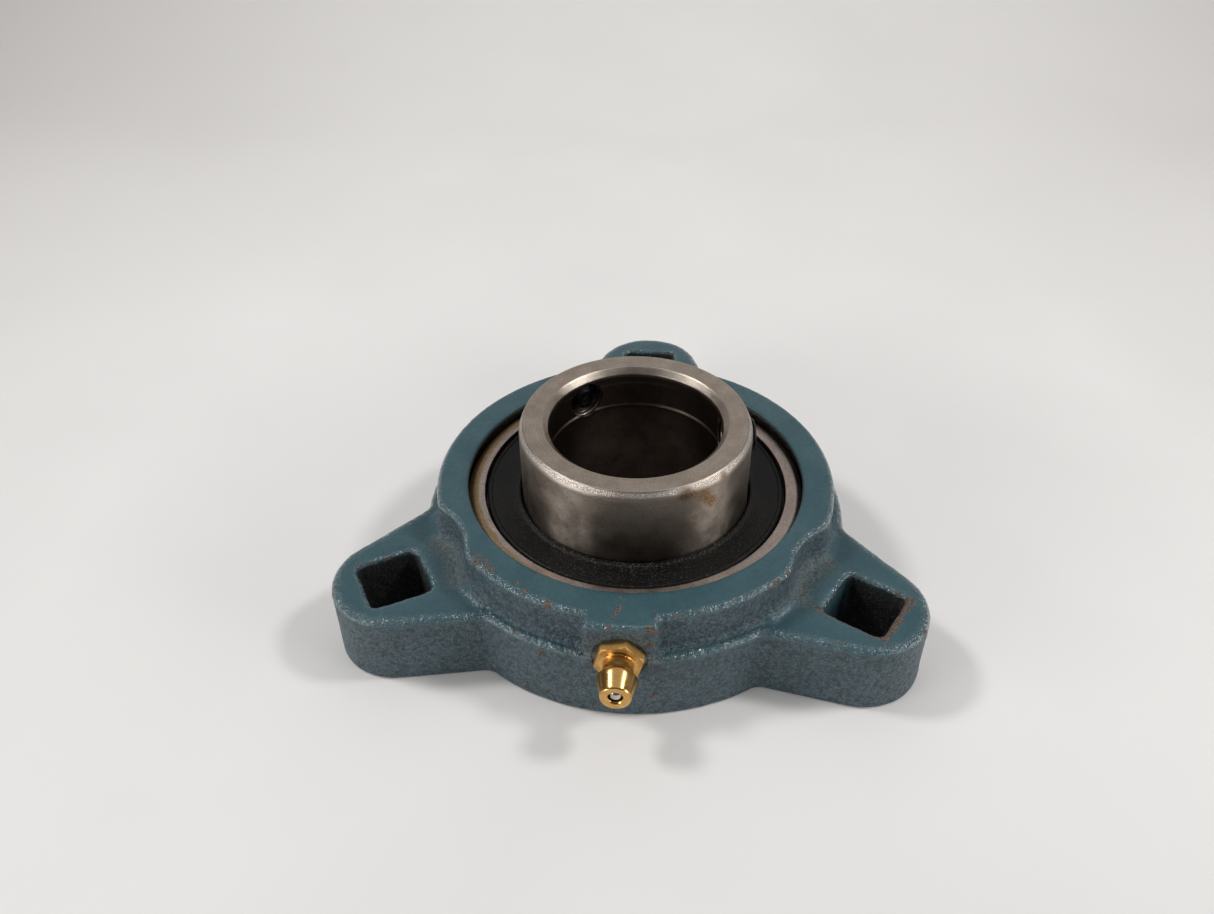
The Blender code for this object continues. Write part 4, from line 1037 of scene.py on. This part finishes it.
def make_balls(material):
    """Nine balls: radius * (sin v cos u, sin v sin u, cos v) about each place on the pitch circle."""
    v = np.linspace(0.0, np.pi, 30)[1:-1, None]
    sphere = polar(BALL_RADIUS * np.sin(v), around(48), BALL_RADIUS * np.cos(v))
    for k in range(BALL_COUNT):
        place = sphere + on_pitch_circle(FULL * k / BALL_COUNT)
        node = f"ball_{k + 1}"
        build(f"bearing_{node}", place, "poles", material, node, [node])


def make_cage(material, rivet_material):
    """Two pressed ribbons: the height is the flat web's, or the ball pocket's sphere where higher."""
    angle = around(540)
    nearest = np.round(angle * BALL_COUNT / FULL) * FULL / BALL_COUNT
    across = np.linspace(21.5, 24.7, 9)
    radius = np.concatenate([across, across[::-1]])[:, None]
    over = np.repeat([0.0, 1.0], len(across))[:, None] * 0.8
    aside = radius * np.sin(angle - nearest)
    beyond = radius * np.cos(angle - nearest) - PITCH_RADIUS
    dome = BALL_RADIUS + 0.3 + over
    rise = np.sqrt(np.maximum(dome ** 2 - aside ** 2 - beyond ** 2, 0.0))
    skin = smooth_max(rise, 0.15 + over, 0.35)
    between = FULL * (np.arange(BALL_COUNT) + 0.5) / BALL_COUNT
    for name, side in (("front", 1.0), ("rear", -1.0)):
        grid = polar(radius, angle, side * skin) + INSERT_CENTRE
        half = build(f"cage_ribbon_{name}", grid, "ring", material, "cage", [f"cage_{name}"])
        punches = []
        for turn in between:
            z = np.linspace(-2.0, 2.0, 5)[:, None]
            punch = polar(0.9 + 0 * z, around(20), z)
            punches.append(build("punch", punch + on_pitch_circle(turn), "poles"))
        carve(half, punches)
    dome = [(1.3, 1.3, 0.1), (1.25, 1.45, 0.12), (0.9, 1.75, 0.2), (0.45, 1.85, 0.2), (0.0, 1.87, 0.1)]
    corners = [(r, -z, cut) for r, z, cut in dome[::-1]] + [(0.6, -1.3, 0.08), (0.6, 1.3, 0.08)] + dome
    rivet = turned_grid(corners, 24, 0.2, closed=False)
    for k, turn in enumerate(between, 1):
        place = rivet + on_pitch_circle(turn)
        build(f"ribbon_rivet_{k}", place, "poles", rivet_material, "cage", [f"cage_rivet_{k}"])


def hexagon(angle, half_flat, corner_at):
    """Distance from a hexagon's middle to its side: half_flat / cos of the angle from that side."""
    from_corner = (angle - corner_at) % (FULL / 6)
    return half_flat / np.cos(from_corner - FULL / 12)


def make_set_screws(material):
    """Cup-point socket screws: thread 2.65 to 3.0 mm in radius, a hexagon socket, and a dished point."""
    columns = 96
    turn = around(columns)
    corners = [(0.0, 0.9, 0.1), (1.1, 0.05, 0.2), (1.7, 0.0, 0.15), (SCREW_RADIUS, 1.1, 0.2),
               (SCREW_RADIUS, 5.0, 0.15), (2.6, SCREW_LENGTH, 0.1), (2.15, SCREW_LENGTH, 0.1)]
    outside = refine(fillet_corners(corners, False)[1:], 0.11, False)
    radius = np.broadcast_to(outside[:, :1], (len(outside), columns))
    z = np.broadcast_to(outside[:, 1:], (len(outside), columns))
    run_out = smooth_step(0.9, 1.6, z) * smooth_step(5.2, 4.8, z) * (radius > 2.3)
    rise = thread_rise(z, turn, THREAD_PITCH)
    radius = radius - 0.36 * (1.0 - rise) * run_out
    depth = np.array([SCREW_LENGTH, 5.3, 5.1, 4.4, 3.6, 2.95, 2.8])[:, None]
    chamfer = np.array([0.42, 0.22, 0.03, 0.0, 0.0, 0.0, -0.12])[:, None]
    socket = hexagon(turn, SOCKET_HALF, 0.0)[None, :]
    opening = np.minimum(socket + np.maximum(chamfer, 0.0), 2.1) + np.minimum(chamfer, 0.0)
    bottom = np.array([[2.6], [2.3]])
    radius = np.vstack([radius, opening, opening[-1:] * 0.6, opening[-1:] * 0.2])
    z = np.vstack([z, np.broadcast_to(depth, (7, columns)), np.broadcast_to(bottom, (2, columns))])
    crest = np.concatenate([(rise * run_out).ravel(), np.full(9 * columns, 0.25), [0.3, 0.0]])
    for k, angle in enumerate(SCREW_ANGLES, 1):
        outward = (math.cos(angle), math.sin(angle), 0.0)
        origin = (15.5 * outward[0], AXIS_Y + 15.5 * outward[1], SCREW_HEIGHT)
        grid = turn_to(polar(radius, turn, z), origin, outward)
        node = f"set_screw_{k}"
        screw = build(f"socket_screw_{k}", grid, "poles", material, node, [node])
        mark(screw, crest=crest)
        mark_turning(screw, origin, outward)


# ---------------------------------------------------------------- grease fitting

def fitting_local(points):
    """Carry points whose +Z runs out of the pad to the row frame."""
    x, y, z = points[..., 0], points[..., 1], points[..., 2]
    return np.stack([x, PAD_Y - z, FITTING_Z + y], -1)


def make_fitting_body(brass):
    """The fitting: a turned head and neck, a hexagon with crowned corners, a thread and a bored channel."""
    columns = 180
    turn = around(columns, HEXAGON_CORNER)
    corners = [(1.1, -5.0, 0.08), (2.5, -5.0, 0.12), (2.85, -4.6, 0.12), (2.85, -1.75, 0.12),
               (2.55, -1.45, 0.12), (2.55, -1.2, 0.05), (4.3, -1.2, 0.03), (4.3, 1.15, 0.03),
               (2.45, 1.15, 0.18), (2.45, 3.45, 0.35), (3.28, 4.3, 0.32), (3.2, 4.75, 0.3),
               (2.46, 7.45, 0.12), (2.32, 7.7, 0.1), (1.35, 7.7, 0.1), (1.1, 7.45, 0.08),
               (1.1, 7.3, 0.06), (1.75, 6.6, 0.12), (1.75, -4.3, 0.12), (1.1, -4.6, 0.1)]
    profile = refine(fillet_corners(corners, True), 0.14, True)
    radius = np.broadcast_to(profile[:, :1], (len(profile), columns))
    z = np.broadcast_to(profile[:, 1:], radius.shape)
    flats = hexagon(turn, HEXAGON_HALF, HEXAGON_CORNER)[None, :]
    crown = 3.72 + (1.15 - z) * 1.9
    back_crown = 3.80 + (z + 1.2) * 1.9
    limit = -smooth_max(-flats, -np.minimum(crown, back_crown), 0.10)
    outside = (z > -1.25) & (z < 1.2) & (radius > 2.5)
    radius = np.where(outside, np.minimum(radius, limit), radius)
    threaded = (radius > 2.4) * smooth_step(-4.9, -4.5, z) * smooth_step(-1.6, -1.9, z)
    radius = radius - 0.3 * threaded * (1.0 - thread_rise(z, turn, THREAD_PITCH))
    grid = fitting_local(polar(radius, turn, z))
    fitting = build("grease_fitting_brass", grid, "ring", brass, "housing",
                    ["grease_fitting_body"])
    place = places_of(fitting)
    out = PAD_Y - place[:, 1]
    reach = np.hypot(place[:, 0], place[:, 2] - FITTING_Z)
    hollow = np.exp(-((out - 1.3) / 0.35) ** 2) * (reach < 3.1)
    buried = smooth_step(0.6, -1.0, out)
    channel = (reach < 1.9) * smooth_step(7.4, 6.8, out)
    on_hexagon = (reach > 2.9) * smooth_step(1.4, 1.1, out) * smooth_step(-1.5, -1.2, out)
    mark(fitting, grime=0.25 * hollow + 0.6 * buried * (reach < 3.1) + channel, dull=on_hexagon)
    mark_turning(fitting, PAD_CENTRE, (0, -1, 0))


def make_check_valve(ball_steel, wire):
    """A 2.6 mm check ball, and a spring coiled behind it that shortens as the ball is pressed in."""
    v = np.linspace(0.0, np.pi, 34)[1:-1, None]
    sphere = polar(CHECK_BALL_RADIUS * np.sin(v), around(56), CHECK_BALL_RADIUS * np.cos(v) + 6.3)
    sphere = fitting_local(sphere)
    build("check_ball_steel", sphere, "poles", ball_steel, "check_ball",
          ["grease_fitting_ball"])

    turns = 6
    t = np.linspace(0.0, 1.0, turns * 28 + 1)[:, None]
    winding = FULL * turns * t
    middle = np.concatenate([1.1 * np.cos(winding), 1.1 * np.sin(winding), -4.0 + 8.6 * t], 1)
    ahead = np.gradient(middle, axis=0)
    ahead /= np.linalg.norm(ahead, axis=1, keepdims=True)
    outward = np.concatenate([np.cos(winding), np.sin(winding), 0 * t], 1)
    beside = np.cross(ahead, outward)
    ring = around(10)[None, :, None]
    tube = middle[:, None] + 0.13 * (np.cos(ring) * outward[:, None] + np.sin(ring) * beside[:, None])
    spring = build("check_spring_wire", fitting_local(tube), "poles", wire, "housing",
                   ["grease_fitting_spring"])
    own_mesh(spring)


# ---------------------------------------------------------------- stage

def make_floor():
    """Paper sweep: flat under the object, then z = 0.25 m (1 - cos t) up a quarter turn behind it."""
    bend = 250.0
    t = np.linspace(0.0, np.pi / 2, 24)
    y = np.concatenate([np.linspace(-2600.0, 205.0, 12), 205.0 + bend * np.sin(t[1:]), [205.0 + bend]])
    z = np.concatenate([np.zeros(12), bend * (1 - np.cos(t[1:])), [900.0]])
    x = np.linspace(-2600.0, 2600.0, 9)
    grid = np.stack(np.broadcast_arrays(x[None, :], y[:, None], z[:, None]), -1)
    rows, cols = grid.shape[:2]
    i, j = (k.ravel() for k in np.meshgrid(np.arange(rows - 1), np.arange(cols - 1), indexing="ij"))
    faces = np.stack([i * cols + j, i * cols + j + 1, (i + 1) * cols + j + 1, (i + 1) * cols + j], -1)
    mesh = bpy.data.meshes.new("paper_sweep")
    mesh.from_pydata((grid.reshape(-1, 3) * MM).tolist(), [], faces.tolist())
    mesh.shade_smooth()
    mesh.materials.append(studio_paper())
    floor = bpy.data.objects.new("paper_sweep", mesh)
    bpy.context.scene.collection.objects.link(floor)


def add_softbox(name, place, aim, width, height, watts, colour="#ffffff"):
    """A rectangular soft light at a place, facing an aim point."""
    lamp = bpy.data.lights.new(name, "AREA")
    lamp.shape = "RECTANGLE"
    lamp.size = width
    lamp.size_y = height
    lamp.energy = watts
    lamp.color = linear(colour)[:3]
    box = bpy.data.objects.new(name, lamp)
    bpy.context.scene.collection.objects.link(box)
    box.location = place
    box.rotation_euler = (Vector(aim) - Vector(place)).to_track_quat("-Z", "Y").to_euler()


def make_lights():
    """A high lamp and a low window on each side, a broad diffuser overhead, and a dim grey room."""
    add_softbox("left_lamp", (-0.42, 0.03, 0.58), (0, 0, 0), 0.11, 0.11, 1.45)
    add_softbox("right_lamp", (0.46, 0.03, 0.58), (0, 0, 0), 0.11, 0.11, 1.45)
    add_softbox("overhead_diffuser", (0.0, 0.10, 0.80), (0, 0, 0), 0.9, 0.7, 0.9)
    add_softbox("left_window", (-0.456, -0.313, 0.155), (0, 0, 0.02), 0.40, 0.21, 1.3)
    add_softbox("right_window", (0.526, -0.166, 0.155), (0, 0, 0.02), 0.34, 0.21, 1.2)
    world = bpy.data.worlds.new("grey_room")
    bpy.context.scene.world = world
    world.use_nodes = True
    backdrop = world.node_tree.nodes["Background"]
    backdrop.inputs["Color"].default_value = linear("#f2f1f0")
    backdrop.inputs["Strength"].default_value = 0.12
    bpy.context.scene.view_settings.view_transform = "Standard"


def make_camera():
    """A 31.3 mm lens, 206 mm from the bearing, looking 38.5 degrees down."""
    right = Vector((0.996345, 0.085006, -0.008442))
    up = Vector((-0.046397, 0.621477, 0.782057))
    ahead = Vector((-0.071726, 0.778807, -0.623149))
    camera_data = bpy.data.cameras.new("camera")
    camera_data.sensor_width = 36.0
    camera_data.lens = 31.289
    camera_data.clip_start = 0.01
    camera_data.clip_end = 20.0
    camera = bpy.data.objects.new("camera", camera_data)
    bpy.context.scene.collection.objects.link(camera)
    turn = Matrix((right, up, -ahead)).transposed().to_4x4()
    camera.matrix_world = Matrix.Translation(Vector((0.008406, -0.150904, 0.140108))) @ turn
    bpy.context.scene.camera = camera


# ---------------------------------------------------------------- assembly

make_camera()
make_floor()
make_lights()
make_housing(enamel_on_cast_iron())
make_inner_ring(ground_bearing_steel("ground_inner_ring_steel", "#bfb3a6", "#ac9f93", "#5b4224", 0.34))
make_outer_ring(ground_bearing_steel("ground_outer_ring_steel", "#c9bbb3", "#b1a49c", "#957b50", 0.36))
make_seals(nitrile_seal_rubber(), pressed_sheet_steel("seal_core_strip", "#8f8c88", "#6f6c69", 0.34))
make_balls(lapped_ball_steel())
make_cage(pressed_sheet_steel("cage_strip", "#9a958d", "#7c776f", 0.30),
          pressed_sheet_steel("rivet_wire_steel", "#a39e97", "#88837c", 0.28))
make_set_screws(black_oxide_steel())
make_fitting_body(free_cutting_brass())
make_check_valve(lapped_ball_steel(), spring_wire_steel())

bpy.context.view_layer.update()
